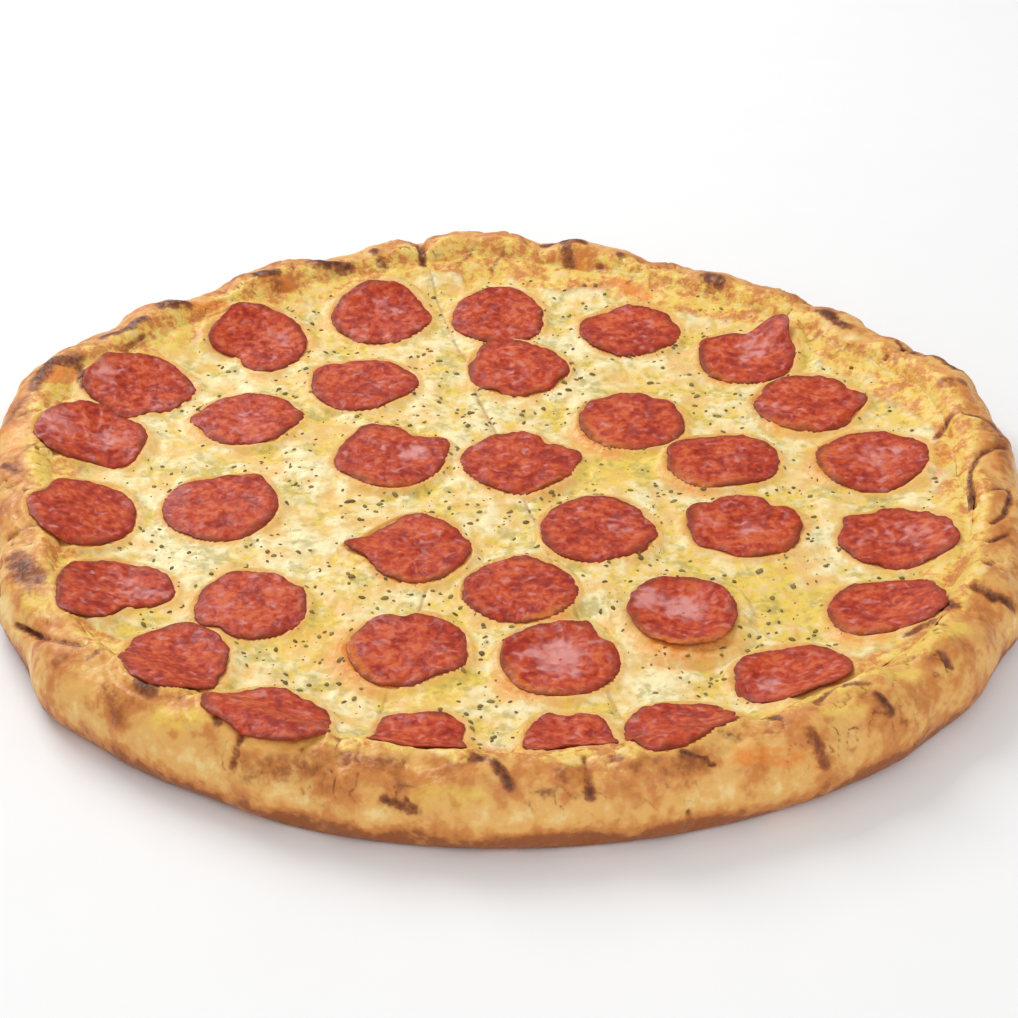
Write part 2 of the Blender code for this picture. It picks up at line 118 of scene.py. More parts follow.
# How well each place of the dough is baked: where its crown and foot are, and what these and the lumps add.
# The foot's darkening is partly real browning and partly painted shade.
CROWN_HEIGHTS = (9.0, 22.0)
CROWN_INSETS = (13.0, 22.0)
CROWN_FALL = 0.5
FOOT_BROWN_AND_SHADE_HEIGHTS = (3.0, 15.0)
TOAST_LEAST = 0.06
TOAST_CROWN = 0.4
TOAST_LUMPS = 0.2
TOAST_MIDDLES = (0.3, 0.9)
CRAG_BURN = 0.45
MELT_INSETS = (10.0, 20.0)
MELT_WANDER = 3.0
MELT_MIDDLES = (1.0, 0.0)

# How finely the crust is drawn: its innermost ring's inset as a share of the radius, then steps and rows
INNERMOST_SHARE = 0.94
CRUST_STEPS = 1540
WELL_ROWS = 2
SLOPE_ROWS = 22
FLANK_ROWS = 29
BELOW_ROWS = 8
BASE_ROWS = 2

# Broad swells of the outline and of the rim's height: bearing, half width, how far out or up
OUTLINE_SWELLS = (
    (16, 12, 2.6),
    (35.5, 5.5, -5.0),
    (60, 22, -8.0),
    (84, 5, -1.5),
    (97, 20, 4.0),
    (112, 8, -3.2),
    (132, 5, -1.2),
    (146, 14, 3.0),
    (164, 12, 8.0),
    (190, 18, -5.0),
    (219, 6, 2.8),
    (237, 26, 3.0),
    (241, 6, -2.0),
    (314, 32, 4.0),
    (322, 14, 1.2),
    (358, 18, -2.0),
)
HEIGHT_SWELLS = (
    (58, 22, -2.0),
    (111, 7, -1.6),
    (125, 18, -0.8),
    (133, 6, -1.4),
    (168, 14, -1.2),
    (205, 10, -1.5),
    (232, 16, 1.0),
    (306, 16, 1.5),
    (20, 12, 1.0),
)

# Folds pinched across the rim: bearing, half width, depth
RIM_FOLDS = (
    (27, 2.6, 2.0),
    (45, 3.0, 1.2),
    (70, 3.0, 1.4),
    (84.5, 2.6, 2.4),
    (101, 2.2, 2.2),
    (131, 2.6, 1.6),
    (146, 2.8, 1.4),
    (166, 3.0, 1.2),
    (195, 3.0, 1.6),
    (213, 3.4, 2.6),
    (251, 2.6, 1.6),
    (260, 2.2, 1.2),
    (278, 2.4, 1.4),
    (288, 2.2, 1.8),
    (316, 3.0, 1.4),
    (329, 3.0, 1.8),
    (343, 2.8, 1.4),
    (358, 2.6, 1.6),
    (11, 3.0, 1.2),
)

# Blisters risen on the rim: bearing, how far in from the outline, radius, height
RIM_BLISTERS = (
    (20, 9, 9, 1.8),
    (38, 9, 9, 1.6),
    (58, 12, 8, 1.2),
    (80, 10, 9, 1.6),
    (120, 11, 8, 0.8),
    (126, 13, 8, 1.0),
    (142, 8, 8, 1.0),
    (158, 9, 10, 2.0),
    (203, 10, 11, 2.0),
    (222, 9, 9, 1.2),
    (245, 7, 8, 1.0),
    (268, 12, 9, 1.8),
    (287, 7, 8, 1.4),
    (301, 8, 8, 2.0),
    (309, 11, 10, 1.8),
    (321, 12, 9, 1.6),
    (335, 10, 10, 1.8),
    (352, 13, 9, 1.6),
)

# Marks on the rim, each a soft line or spot: bearing and inset of one end, bearing and inset of the other,
# half width, how deep it is pressed in (below 0: how far it stands out), how dark
RIM_MARKS = (
    (200, 7, 206, 12, 4.6, 0.3, 0.75),
    (209, 1, 214, 5, 1.4, 2.6, 1.0),
    (214, 5, 221, 14, 1.2, 1.8, 0.9),
    (223, 11, 223, 16, 1.4, 0.3, 0.6),
    (231, 11, 232, 11.5, 3.0, -0.6, 1.0),
    (227, 6, 231, 2, 3.6, 0.0, 0.4),
    (240, 14, 241, 8, 2.0, 0.5, 0.8),
    (244, 9, 244, 2, 1.8, 0.5, 0.75),
    (246, 2, 252, 6, 4.6, 0.0, 0.38),
    (250, 10, 251, 1, 0.9, 0.9, 0.5),
    (254, 10, 260, 12, 3.6, 0.0, 0.42),
    (260, 13, 261, 2, 0.9, 1.1, 0.8),
    (259, 2, 262, 1, 2.0, 0.2, 0.75),
    (267, 13, 268, 14.5, 2.0, 0.4, 0.9),
    (269, 12.5, 270.5, 6, 1.8, -0.4, 0.9),
    (278, 16, 278, 7, 1.3, 1.0, 0.6),
    (278, 7, 278, 3, 1.6, 0.6, 0.85),
    (287, 9.5, 290, 6, 0.9, 1.2, 0.9),
    (287, 8, 287, 0, 0.9, 1.5, 0.85),
    (292, 16, 293.5, 13, 2.4, 0.6, 0.5),
    (298, 19, 298.5, 15, 1.5, 0.4, 0.85),
    (300, 6.5, 300.5, 1, 2.2, -0.7, 0.7),
    (303, 15, 306, 18, 1.2, 0.7, 0.6),
    (306, 18, 309, 13, 1.5, 0.7, 0.7),
    (308.5, 8.5, 309, 4, 1.8, -0.4, 0.85),
    (313, 20, 317, 15, 1.3, 0.7, 0.5),
    (319, 10, 319, 5, 1.2, 0.9, 0.75),
    (322, 26, 325, 21, 1.5, 0.5, 0.75),
    (325, 21, 323, 15, 1.3, 0.6, 0.6),
    (328, 24, 328, 18, 2.8, -0.5, 0.95),
    (332, 15, 332, 8, 1.7, 1.2, 0.95),
    (332, 8, 333.5, 2, 1.9, 1.0, 0.9),
    (336, 14, 338, 12, 1.3, 0.7, 0.7),
    (342, 15, 344.5, 8.5, 1.1, 1.0, 0.8),
    (346, 14, 348, 10, 1.2, 0.9, 0.8),
    (348, 10, 354, 7, 1.4, 1.1, 0.85),
    (354, 7, 352, 14, 1.2, 1.0, 0.8),
    (350, 20, 357, 20, 1.5, 1.2, 0.9),
    (357, 20, 1, 15.5, 1.4, 1.2, 0.9),
    (1, 15.5, 3, 6, 1.4, 1.3, 0.85),
    (8, 27, 11, 20, 1.8, 0.6, 0.75),
    (10, 15, 9, 9, 1.8, 0.5, 0.9),
    (9, 9, 5, 4, 2.0, 0.5, 0.85),
    (17, 17, 16, 10, 3.4, -0.4, 0.5),
    (24.5, 9, 19.5, 7, 2.2, -0.5, 0.95),
    (29.5, 9, 25.5, 10, 1.6, 0.3, 0.9),
    (28.5, 2, 28, 10, 1.1, 1.6, 0.9),
    (28, 10, 28, 20, 1.1, 1.6, 0.7),
    (30, 27, 29.5, 20, 1.1, 0.4, 0.4),
    (34, 28, 33.5, 20, 1.1, 0.4, 0.4),
    (39, 27, 39, 20, 1.2, 0.4, 0.4),
    (42, 14, 36, 13, 2.4, 0.0, 0.95),
    (50, 24, 51, 15, 1.2, 0.6, 0.5),
    (60, 14.5, 57.5, 16.5, 3.2, -0.6, 1.0),
    (59, 16, 58.5, 23, 1.8, 0.3, 0.5),
    (65, 24, 64, 14, 1.2, 0.7, 0.5),
    (71, 26, 70, 16, 1.3, 0.8, 0.55),
    (73.5, 13.5, 73, 14, 1.9, 0.1, 0.95),
    (76, 20.5, 76, 21, 1.7, 0.2, 0.9),
    (81.5, 14, 80.5, 22, 3.0, -0.6, 0.9),
    (84.5, 11.5, 79, 13.5, 2.2, 0.0, 0.95),
    (88, 24, 87, 12, 1.2, 1.0, 0.6),
    (92, 30, 90, 19, 1.5, 0.3, 0.55),
    (97, 29, 94, 18, 1.4, 0.3, 0.5),
    (101.5, 6, 101.5, 12, 1.7, 2.4, 1.0),
    (101.5, 12, 101.5, 18, 1.7, 2.2, 1.0),
    (101.5, 18, 102, 26, 1.5, 1.8, 1.0),
    (108, 13, 107.5, 21, 2.5, -0.5, 0.9),
    (116.8, 14, 113, 18.5, 3.8, -0.6, 1.0),
    (121, 26, 120, 14, 1.2, 0.7, 0.5),
    (125.5, 14, 123, 16.5, 2.7, -0.6, 1.0),
    (124.5, 19, 123, 23, 3.8, -0.8, 0.45),
    (131, 24, 130.5, 12, 1.2, 1.1, 0.6),
    (140, 13.5, 137.5, 16, 3.2, -0.7, 1.0),
    (150, 12, 144, 15.5, 2.5, -0.4, 1.0),
    (150, 21, 146, 20, 1.7, 0.4, 0.6),
    (154, 24, 152, 14, 1.2, 0.8, 0.5),
    (164, 12, 158.5, 10.5, 2.6, -0.5, 1.0),
    (158.5, 10.5, 156.5, 16, 2.8, -0.6, 1.0),
    (156.5, 16, 160, 25, 2.2, 0.4, 1.0),
    (168, 18, 170, 10, 1.1, 0.8, 0.5),
    (171, 4, 167, 9, 4.4, 0.0, 0.5),
    (253, 20, 266, 15, 2.8, -1.7, 0.0),
    (271, 24, 283, 20, 2.8, -1.7, 0.0),
    (284, 11, 290, 15, 2.6, -1.6, 0.0),
    (290, 15, 297, 21, 2.8, -1.7, 0.0),
    (180, 5, 183, 10, 1.5, 0.4, 0.85),
    (188, 20, 187, 12, 1.2, 0.6, 0.55),
    (195, 16, 195, 5, 1.2, 1.1, 0.6),
)

# How much deeper the marks are than their rows say, and the most that they stand out or go in
MARK_DEPTH = 1.4
MARK_LIMITS = (-2.4, 3.4)

# How a mark tapers to its ends: what is left there and what half a sine wave adds, the part of that wave
# that is used, and how much of the mark's dark stays and how much tapers
MARK_TAPER = (0.45, 0.55)
MARK_SPAN = (0.15, 0.7)
MARK_DARK = (0.6, 0.4)

# Places where the rim is redder with oil: bearing and inset of each end, half width, strength
RIM_REDS = (
    (125, 16, 122.5, 23, 4.2, 1.0),
    (138, 15, 133, 20, 4.2, 1.0),
    (161.5, 13, 158.5, 19, 4.0, 1.0),
    (72, 26, 68, 30, 5.0, 1.1),
    (80, 14, 78.5, 22, 4.0, 0.7),
    (107.5, 13, 107, 20, 3.4, 0.6),
    (20, 13, 22, 18, 4.0, 0.5),
    (178, 12, 172, 6, 5.0, 0.5),
    (200, 7, 205, 12, 5.0, 0.6),
    (17, 17, 15, 9, 4.0, 0.8),
    (8, 27, 11, 21, 3.0, 0.7),
    (359, 31, 5, 24, 5.0, 0.5),
    (293, 6, 298, 3, 4.0, 0.75),
    (300, 6, 300, 1, 3.0, 0.7),
    (328, 24, 328, 17, 4.0, 0.8),
    (332, 12, 333, 4, 3.0, 0.5),
    (227, 6, 231, 1, 4.0, 0.4),
    (244, 8, 244, 3, 3.0, 0.6),
)

# Places where the rim is yellower: bearing and inset of each end, half width, strength
RIM_YELLOWS = (
    (235, 6, 240, 10, 4.0, 0.9),
    (209, 8, 212, 16, 4.5, 1.0),
    (312, 14, 315, 10, 4.0, 0.8),
    (303, 11, 306, 8, 3.0, 0.7),
    (144, 30, 140, 25, 4.0, 0.7),
    (63, 30, 59, 28, 3.5, 1.0),
    (30, 24, 40, 26, 5.0, 0.7),
    (108, 26, 96, 24, 4.5, 0.6),
    (176, 14, 184, 18, 4.0, 0.8),
    (345, 26, 352, 26, 4.0, 0.7),
    (262, 4, 268, 4, 4.0, 0.5),
    (302, 20, 308, 13, 4.0, 0.6),
    (316, 18, 324, 12, 4.5, 0.8),
    (330, 22, 338, 17, 4.0, 0.6),
    (14, 24, 22, 20, 4.0, 0.5),
)

# The cheese, as in the solid part
CHEESE_TOP = 13.5
CHEESE_RAMP_START = 48.0
CHEESE_RAMP_RUN = 26.0
CHEESE_RAMP_RISE = 6.8
CHEESE_EDGE_INSET = 22.0
RAMP_POWER = 1.5
FRONT_POWER = 2.2
FRONT_BEARING = 268
FRONT_HALF_WIDTH = 44
CROWN_RISE = 12.0
CROWN_EASE = 4
CHEESE_BUMPS = 7
CHEESE_BUMP_HEIGHT = 0.16
CHEESE_BUMP_LENGTH = 26.0
CHEESE_BUMP_LENGTH_STEP = 5.0
CHEESE_BUMP_TURN = 2.4
CHEESE_BUMP_PHASE = 1.7

# The cheese's own finish: how finely it is drawn, its underside, its ragged edge and skin, and its strings
CHEESE_STEPS = 830
CHEESE_ROWS = 112
CHEESE_UNDER_ROWS = 5
CHEESE_UNDER_GAP = 0.3
CHEESE_UNDER_INNER = 4.0
CHEESE_EDGE_REACH = 1.0
CHEESE_EDGE_WANDER = 1.6
CHEESE_EDGE_RING = 40.0
CHEESE_EDGE_ROUND = 6.0
CHEESE_EDGE_SINK = 0.25
CHEESE_SKIN = 0.3
CHEESE_BUMP_FADE = 6.0
STRING_BEND = 4.0
STRING_HEIGHT = 0.8
STRING_LEVEL = 0.6
# How much whiter the wave tops are, a painted highlight, and how much yellower the hollows are, where oil
# lies
WAVE_HIGHLIGHT_AND_OIL = -0.35

# Where cheese is baked golden near the rim: insets, how far they wander, and how much less at the back
BAKED_INSETS = (22.0, 36.0)
BAKED_WANDER = 7.0
BAKED_BACK = 5.0
BACK_SIDE = (0.2, 0.9)

# The beds that dough and cheese rise to round the slices: how far out slices are looked for, how far outside
# a slice still counts as below it, how far a bed reaches, how it falls off with the gap, and its most
BED_LOOK = 12.0
BED_UNDER = 0.4
BED_REACH = 6.0
BED_RISE = 0.7
BED_FALL = 2.6
BED_FALL_GAPS = (0.6, 5.0)
BED_MOST = 2.4

# The gaps kept below the slices, how the crust sinks away below the cheese, and where its beds begin
CHEESE_BED_GAP = 0.03
CRUST_BED_GAP = 0.05
CRUST_BED_SINK = 0.8
CRUST_BED_SINK_INSETS = (16.0, 21.0)
CRUST_BED_INSET = 4.0

# Closed knife cuts: how far and over what length they wander, and how softly they end
CUT_WANDER = 0.5
CUT_WANDER_LENGTH = 9.0
CUT_END = 6.0

# Each cut: a point on it, its bearing, the length each way, half width, depth
CHEESE_CUTS = (
    (1.0, 14.5, 102.9, 160.0, 165.0, 0.9, 0.6),
    (-32.3, -104.5, 79.0, 32.0, 48.0, 0.9, 0.6),
)

# Larger herb flakes that lie on the cheese: x, y, length, bearing
NAMED_FLAKES = (
    (-52, -10, 4.9, 175),
    (-42, -12, 3.15, 165),
    (-49, -57, 3.85, 70),
    (-45, -68, 3.15, 160),
    (-38, -68, 3.15, 20),
    (-67, -42, 2.8, 130),
    (-71, 0, 2.45, 60),
    (23, 62, 3.15, 10),
    (6, 46, 2.8, 35),
    (14, 50, 2.8, 100),
    (-12, 46, 3.15, 150),
    (-13, 37, 2.45, 80),
    (-11, 61, 2.8, 20),
    (2, -18, 2.8, 65),
    (7, -24, 2.45, 10),
    (32, -59, 2.8, 40),
    (34, -76, 2.45, 110),
    (53, 69, 3.15, 5),
    (57, -11, 3.15, 30),
    (57, -52, 2.8, 150),
    (82, -54, 3.5, 20),
    (92, -62, 2.8, 70),
    (103, -8, 2.45, 120),
    (-24, 84, 3.15, 15),
    (-23, 58, 2.8, 95),
    (32, 74, 2.8, 170),
    (69, 58, 2.8, 45),
    (-17, -68, 2.45, 60),
    (-7, -98, 2.8, 125),
    (-50, -103, 3.15, 20),
    (-45, -120, 2.8, 80),
    (-4, -122, 3.15, 155),
)

# The scattered flakes: how many places are tried for each, and what the draws run between
FLAKE_SEED = 11
FLAKE_TRIES = 3
FLAKE_RADIUS = 146.0
FLAKE_LENGTHS = (0.55, 1.5)
FLAKE_CLEARANCE = 0.8
FLAKE_CROWDS = (-1.2, 0.7)

# The form of a flake: its sides and how ragged, wide, thick and tilted it is, and how high its inner ring is
FLAKE_SIDES = 8
FLAKE_RAGGED = (0.75, 1.15)
FLAKE_WIDTH = (0.45, 0.9)
FLAKE_THICKNESS = 0.22
FLAKE_THICK_LENGTHS = (0.6, 3.0)
FLAKE_TILT = 0.35
FLAKE_INNER_RING = 0.6
FLAKE_INNER_RISE = 0.8
FLAKE_BELOW = 0.5
FLAKE_PROBE_SHARE = 0.004
FLAKE_PROBE_TURN = 0.3

# The meat slices, as in the solid part
SLICE_STEPS = 18
SLICE_INNER_RING = 0.6
SLICE_RAMP_RISE = 8.4
SLICE_WAVE = 0.5
SLICE_WAVES = 3.0
SLICE_WAVE_TURN = 2.1
SLICE_LIFT_POWER = 1.5
CAD_THICKNESS = 1.8
CAD_EDGE_THINNING = 0.12
CAD_EDGE_POWER = 6

# Each slice: x, y, diameter, how high its edge cups, the height and bearing of its lifted side,
# and its dents and tips as bearing, half width, how far out
SLICE_ROWS = (
    (-47, 116, 36.5, 0.6, 3.0, 90, ((0, 22, 1.0), (88, 40, 3.0))),
    (-91, 96, 37.0, 0.8, 2.0, 100, ((105, 30, 3.0), (232, 20, -7.0), (285, 20, 3.0), (180, 25, 1.0))),
    (-2, 115, 36.0, 0.5, 2.5, 90, ((90, 40, 3.0), (0, 25, -1.5))),
    (47, 106, 37.0, 0.6, 0.0, 0, ((250, 20, 0.8), (150, 14, 1.5))),
    (89, 84, 35.0, 1.2, 3.0, 55, ((85, 16, -3.0), (48, 17, 4.8), (135, 16, 3.0))),
    (4, 77, 36.5, 0.7, 2.4, 95, ((0, 20, 1.8), (180, 30, -1.5))),
    (-51, 65, 37.5, 0.7, 0.0, 0,
     ((140, 22, 3.0), (95, 18, -1.6), (275, 28, -1.6), (315, 20, -2.5), (20, 20, 1.5))),
    (-133, 61, 39.0, 0.7, 0.0, 0,
     ((8, 18, 2.5), (105, 35, -2.8), (160, 30, -3.5), (235, 20, -2.5), (292, 14, -2.2))),
    (-144, 25, 38.0, 0.7, 2.0, 72, ((60, 14, -1.5), (275, 16, -2.0), (318, 16, 2.0), (145, 25, -2.0))),
    (-91, 41, 36.0, 0.7, 0.0, 0, ((8, 15, 1.4), (180, 15, 1.4), (90, 32, -1.5), (270, 32, -1.2))),
    (45, 39, 37.5, 0.8, 0.0, 0, ((140, 25, 0.8), (90, 30, 1.8))),
    (108, 51, 37.0, 0.7, 0.0, 0, ((0, 16, 1.8), (180, 20, 0.8), (90, 30, 1.4))),
    (126, 12, 38.0, 0.7, 0.0, 0, ((52, 12, -2.0), (20, 14, 0.8))),
    (75, 13, 38.0, 0.7, 0.0, 0, ((95, 30, -2.2), (285, 28, -1.8), (5, 20, 1.0), (185, 18, 0.8))),
    (-39, 16, 38.0, 0.9, 0.0, 0,
     ((62, 14, -3.2), (25, 16, 2.0), (115, 22, 2.2), (195, 25, 1.2), (270, 30, 1.4))),
    (5, 12, 38.0, 0.9, 0.0, 0, ((52, 12, -3.4), (12, 15, 2.2), (165, 25, 1.0), (275, 16, 1.2))),
    (-140, -24, 36.0, 0.6, 0.0, 0, ((158, 28, -5.5), (65, 25, 2.4), (268, 38, 5.0))),
    (-95, -16, 38.5, 0.7, 0.0, 0, ((102, 14, -1.2), (60, 18, 4.0), (265, 35, 1.4))),
    (30, -30, 38.0, 0.7, 0.0, 0,
     ((285, 18, -1.2), (322, 12, 1.2), (350, 20, 1.4), (60, 30, 0.6), (180, 20, -1.2))),
    (79, -28, 38.5, 1.0, 0.0, 0, ((52, 14, -3.6), (128, 14, -2.6), (238, 16, -2.2), (5, 16, 1.4))),
    (128, -36, 37.0, 0.7, 0.0, 0, ((112, 12, -2.2), (140, 10, 1.4), (32, 14, -1.6), (325, 20, 2.2))),
    (-29, -42, 36.5, 0.9, 0.0, 0,
     ((175, 11, 5.2), (85, 30, 2.2), (28, 12, -1.6), (210, 18, -1.2), (290, 25, 1.2))),
    (-122, -69, 36.5, 0.8, 0.0, 0, ((105, 34, 2.4), (238, 24, 6.0), (298, 32, -10.0), (335, 22, -4.5))),
    (-80, -74, 36.0, 0.7, 0.0, 0, ((90, 36, 2.2), (236, 14, -3.0))),
    (5, -65, 36.0, 0.8, 0.0, 0, ((200, 20, 0.8),)),
    (56, -79, 34.0, 3.4, 0.0, 0, ((90, 40, 1.4), (0, 22, -1.4), (270, 45, 3.4))),
    (120, -77, 37.5, 0.8, 0.0, 0, ((15, 20, -2.6), (98, 38, -3.2), (278, 38, -3.4), (60, 12, 1.0))),
    (-30, -97, 38.0, 0.8, 0.0, 0, ((95, 12, -3.6), (245, 14, 1.8), (300, 22, -1.6))),
    (17, -103, 36.5, 1.6, 1.8, 110, ((42, 12, -2.4), (70, 14, 1.2))),
    (-100, -108, 36.0, 0.7, 2.7, 42,
     ((0, 25, -2.0), (85, 32, 4.2), (180, 30, -3.5), (215, 14, -1.0), (270, 35, 6.0))),
    (-69, -138, 38.0, 0.4, 1.6, 60, ((55, 32, -2.0), (310, 24, 5.2), (350, 16, -2.0), (228, 24, -3.0))),
    (87, -112, 37.0, 0.8, 0.0, 0, ((120, 35, -2.8), (300, 35, -3.0))),
    (52, -140, 34.5, 0.5, 0.0, 0, ((100, 35, -2.4), (243, 26, 7.8), (310, 26, -4.0), (6, 15, -2.6))),
    (-25, -142, 33.0, 0.7, 0.0, 0,
     ((90, 40, -3.8), (0, 22, -3.0), (175, 25, -3.4), (270, 45, -4.6), (322, 20, 1.4))),
    (19, -142, 32.0, 0.7, 0.0, 0,
     ((90, 42, -3.4), (28, 22, -1.8), (152, 22, -2.0), (0, 25, -2.6), (180, 22, -2.2), (262, 40, -5.5))),
)
Slice = collections.namedtuple("Slice", ("x", "y", "diameter", "cup", "lift", "lift_at", "tips"))
SLICES = tuple(Slice(*row) for row in SLICE_ROWS)

# How finely a slice is drawn, and how uneven its edge and top are
SLICE_SIDES = 120
SLICE_TOP_ROWS = 22
SLICE_EDGE_ROWS = 7
SLICE_UNDER_ROWS = 5
SLICE_EDGE_RING = 9.0
SLICE_EDGE_ROUGHNESS = 1.0
SLICE_TOP_ROUGHNESS = 0.4
SLICE_EDGE_POWER = 4
SLICE_EDGE_THINNING = 0.6
SLICE_NOISE_STEP = 10.0
SLICE_SINK = 0.5
# Where on a slice's radius the oil and painted shade at the sides of its widest pools come in
SLICE_OIL_AND_SHADE_SHARES = (0.62, 0.98)

# Where a slice's edge curls up: slice number, bearing, half width, height
SLICE_CURLS = (
    (5, 42, 20, 2.2),
    (9, 75, 30, 0.8),
    (16, 12, 18, 1.0),
    (20, 150, 24, 1.2),
    (20, 20, 22, 0.9),
    (22, 174, 14, 1.2),
    (27, 15, 22, 1.2),
    (28, 95, 20, 0.8),
    (29, 75, 26, 0.8),
)

# Painted sheen on the slices, paler places that stand in for the gloss of light: slice number, how far
# across and away from its middle, radius, strength
PAINTED_SHEENS = (
    (1, 1, 7, 5, 0.5),
    (2, 6, 3, 5, 0.7),
    (5, 2, 4, 7, 0.9),
    (6, 2, -1, 5, 0.4),
    (7, 7, 1, 4, 0.5),
    (8, -10, 3, 8, 0.7),
    (9, -12, 2, 8, 0.9),
    (9, 7, -2, 7, 0.7),
    (10, 0, -3, 6, 0.6),
    (13, 2, 2, 9, 0.8),
    (14, 6, 3, 4, 0.5),
    (15, 8, 1, 6, 1.0),
    (18, 2, 6, 6, 0.4),
    (19, 8, 2, 6, 0.4),
    (23, 2, 2, 14, 0.4),
    (24, -10, 0, 5, 0.5),
    (26, -11, 6, 6, 1.4),
    (26, 0, 3, 7, 1.2),
    (28, 9, -1, 4, 0.5),
    (29, 0, 2, 9, 1.2),
    (20, -10, 2, 5, 0.7),
    (20, 3, -2, 6, 0.5),
    (21, -12, 0, 5, 0.6),
    (21, 5, 1, 8, 0.6),
    (32, -8, -5, 5, 0.9),
    (33, -9, -5, 6, 0.5),
    (12, -12, -3, 5, 0.5),
)

# Slices with the widest pools of oil and painted shade, mostly on their front sides: slice number, bearing,
# half width, how far out, strength
OIL_AND_SHADE_POOLS = (
    (5, 230, 50, 3.0, 0.8),
    (11, 225, 60, 6.0, 1.0),
    (12, 240, 60, 4.5, 0.8),
    (13, 190, 60, 5.0, 0.8),
    (14, 235, 60, 6.0, 0.9),
    (15, 265, 60, 3.0, 0.7),
    (16, 300, 60, 3.5, 0.7),
    (18, 280, 60, 3.0, 0.5),
    (20, 300, 50, 2.5, 0.6),
    (22, 270, 70, 3.0, 0.7),
    (25, 300, 40, 4.0, 1.0),
    (26, 265, 80, 7.0, 1.0),
    (27, 235, 60, 4.5, 0.8),
    (28, 200, 70, 6.0, 1.0),
    (29, 235, 60, 5.0, 0.9),
    (1, 250, 60, 2.5, 0.4),
    (3, 280, 60, 2.5, 0.4),
    (6, 280, 60, 2.5, 0.6),
)
OIL_EDGE_WIDTH = 2.2
OIL_EDGE_STRENGTH = 0.6
OIL_LEAST_WIDTH = 0.3

# Yellower (above 0) and whiter (below 0) places in the cheese: x, y, radius, strength
CHEESE_PATCHES = (
    (38, 10, 16, 1.0),
    (52, 24, 12, 0.8),
    (88, -62, 20, 0.8),
    (-62, -86, 12, 0.9),
    (-85, 14, 10, 0.6),
    (-62, 36, 12, 0.5),
    (104, -20, 14, 0.5),
    (60, 62, 12, 0.4),
    (-20, -86, 14, 0.6),
    (-14, -118, 12, 0.5),
    (70, -8, 8, -0.8),
    (103, -42, 14, -0.8),
    (-68, 10, 12, -0.7),
    (-104, 62, 12, -0.6),
    (48, -108, 12, -0.8),
    (20, 60, 12, -0.4),
    (-110, -45, 10, -0.5),
    (-68, -30, 14, -0.5),
    (25, 95, 10, -0.6),
    (-20, 100, 8, -0.5),
)

# A screen's levels and the power that makes them linear
SCREEN_LEVELS = 255.0
SCREEN_POWER = 2.2

# Mottled noise in the materials: the scales of its broad and its fine part, in lumps a metre
DOUGH_MOTTLES = {"broad": (85.0, 320.0), "small": (300.0, 800.0)}
CHEESE_MOTTLES = {"broad": (75.0, 300.0), "middle": (120.0, 300.0), "small": (240.0, 480.0)}
MEAT_MOTTLES = {"broad": (110.0, 420.0)}
BAKED_MOTTLES = {"broad": (120.0, 420.0), "small": (380.0, 1300.0)}
MARK_MOTTLES = {"small": (260.0, 700.0)}
FLOOR_MOTTLES = {"tone": (3.0, 40.0)}
BROAD_DETAIL = 3.0
MOTTLE_WEIGHTS = {"fine": 0.35, "broad": 0.65}
MOTTLE_RANGE = (0.34, 0.66)

# Noise in the meat: scale, detail and distortion
MEAT_NOISES = {"grains": (380.0, 1.0, 0.3), "flecks": (300.0, 0.5, 0.6)}

# Sums that the layers of colour follow: how much of each mottling and of each point value is in them
DOUGH_SUMS = {"bake_and_shade": {"toast_and_shade": 1.0, "broad": 0.55, "small": 0.1}, "spread": {"melt": 1.0, "broad": 0.5}}
BAKED_SUMS = {"tone": {"small": 0.38, "broad": 0.62}}
CHEESE_SUMS = {
    "yellowness": {"broad": 1.0, "patches_and_highlight": 0.6},
    "tan": {"middle": 1.0, "broad": -0.6},
    "whiteness": {"middle": -0.8, "small": 0.45, "patches_and_highlight": -0.6},
    "staining": {"broad": 1.0, "small": 1.0, "middle": -0.7},
}
MEAT_SUMS = {
    "shade": {"grains": 1.0, "broad": 0.42},
    "flecks_and_sheen": {"painted_sheen": 1.0, "flecks": 2.0},
    "oil_and_shade_edge": {"oil_and_shade": 1.0, "broad": 0.3},
    "border": {"edge": 1.0, "broad": 0.2},
}

# The marks that points hold, and how they are broken up: what mottling adds, and what is always there
MARK_ATTRIBUTES = ("oil_and_shade", "yellow", "red", "burn")
MARK_UNEVEN = (0.8, 0.6)

# Layers of colour, from the lowest up: the colour, the value that it follows, where it starts to show,
# where it shows most, and how much it then shows
DOUGH_LAYERS = (
    ("dough_golden", "bake_and_shade", 0.15, 0.5, 1.0),
    ("dough_toasted", "bake_and_shade", 0.5, 0.95, 1.0),
    # Brown, which also lays the painted shade at the foot
    ("dough_brown", "bake_and_shade", 0.9, 1.3, 0.9),
    ("baked", "spread", 0.55, 1.0, 1.0),
)
BAKED_LAYERS = (
    ("baked_golden", "tone", 0.2, 0.5, 1.0),
    ("cheese_yellow", "tone", 0.45, 0.65, 1.0),
    ("cheese_cream", "tone", 0.6, 0.85, 1.0),
)
MARK_LAYERS = (
    ("cheese_yellow", "yellow", 0.1, 0.9, 0.7),
    # Oil, and the painted shade below the slices: golden where it is thin and orange where it is thick
    ("baked_golden", "oil_and_shade", 0.04, 0.5, 0.8),
    ("oil_orange", "oil_and_shade", 0.4, 1.2, 0.8),
    ("oil_orange", "red", 0.15, 0.9, 0.8),
    ("dough_brown", "burn", 0.12, 0.6, 0.95),
    ("dough_burnt", "burn", 0.5, 1.05, 0.9),
)
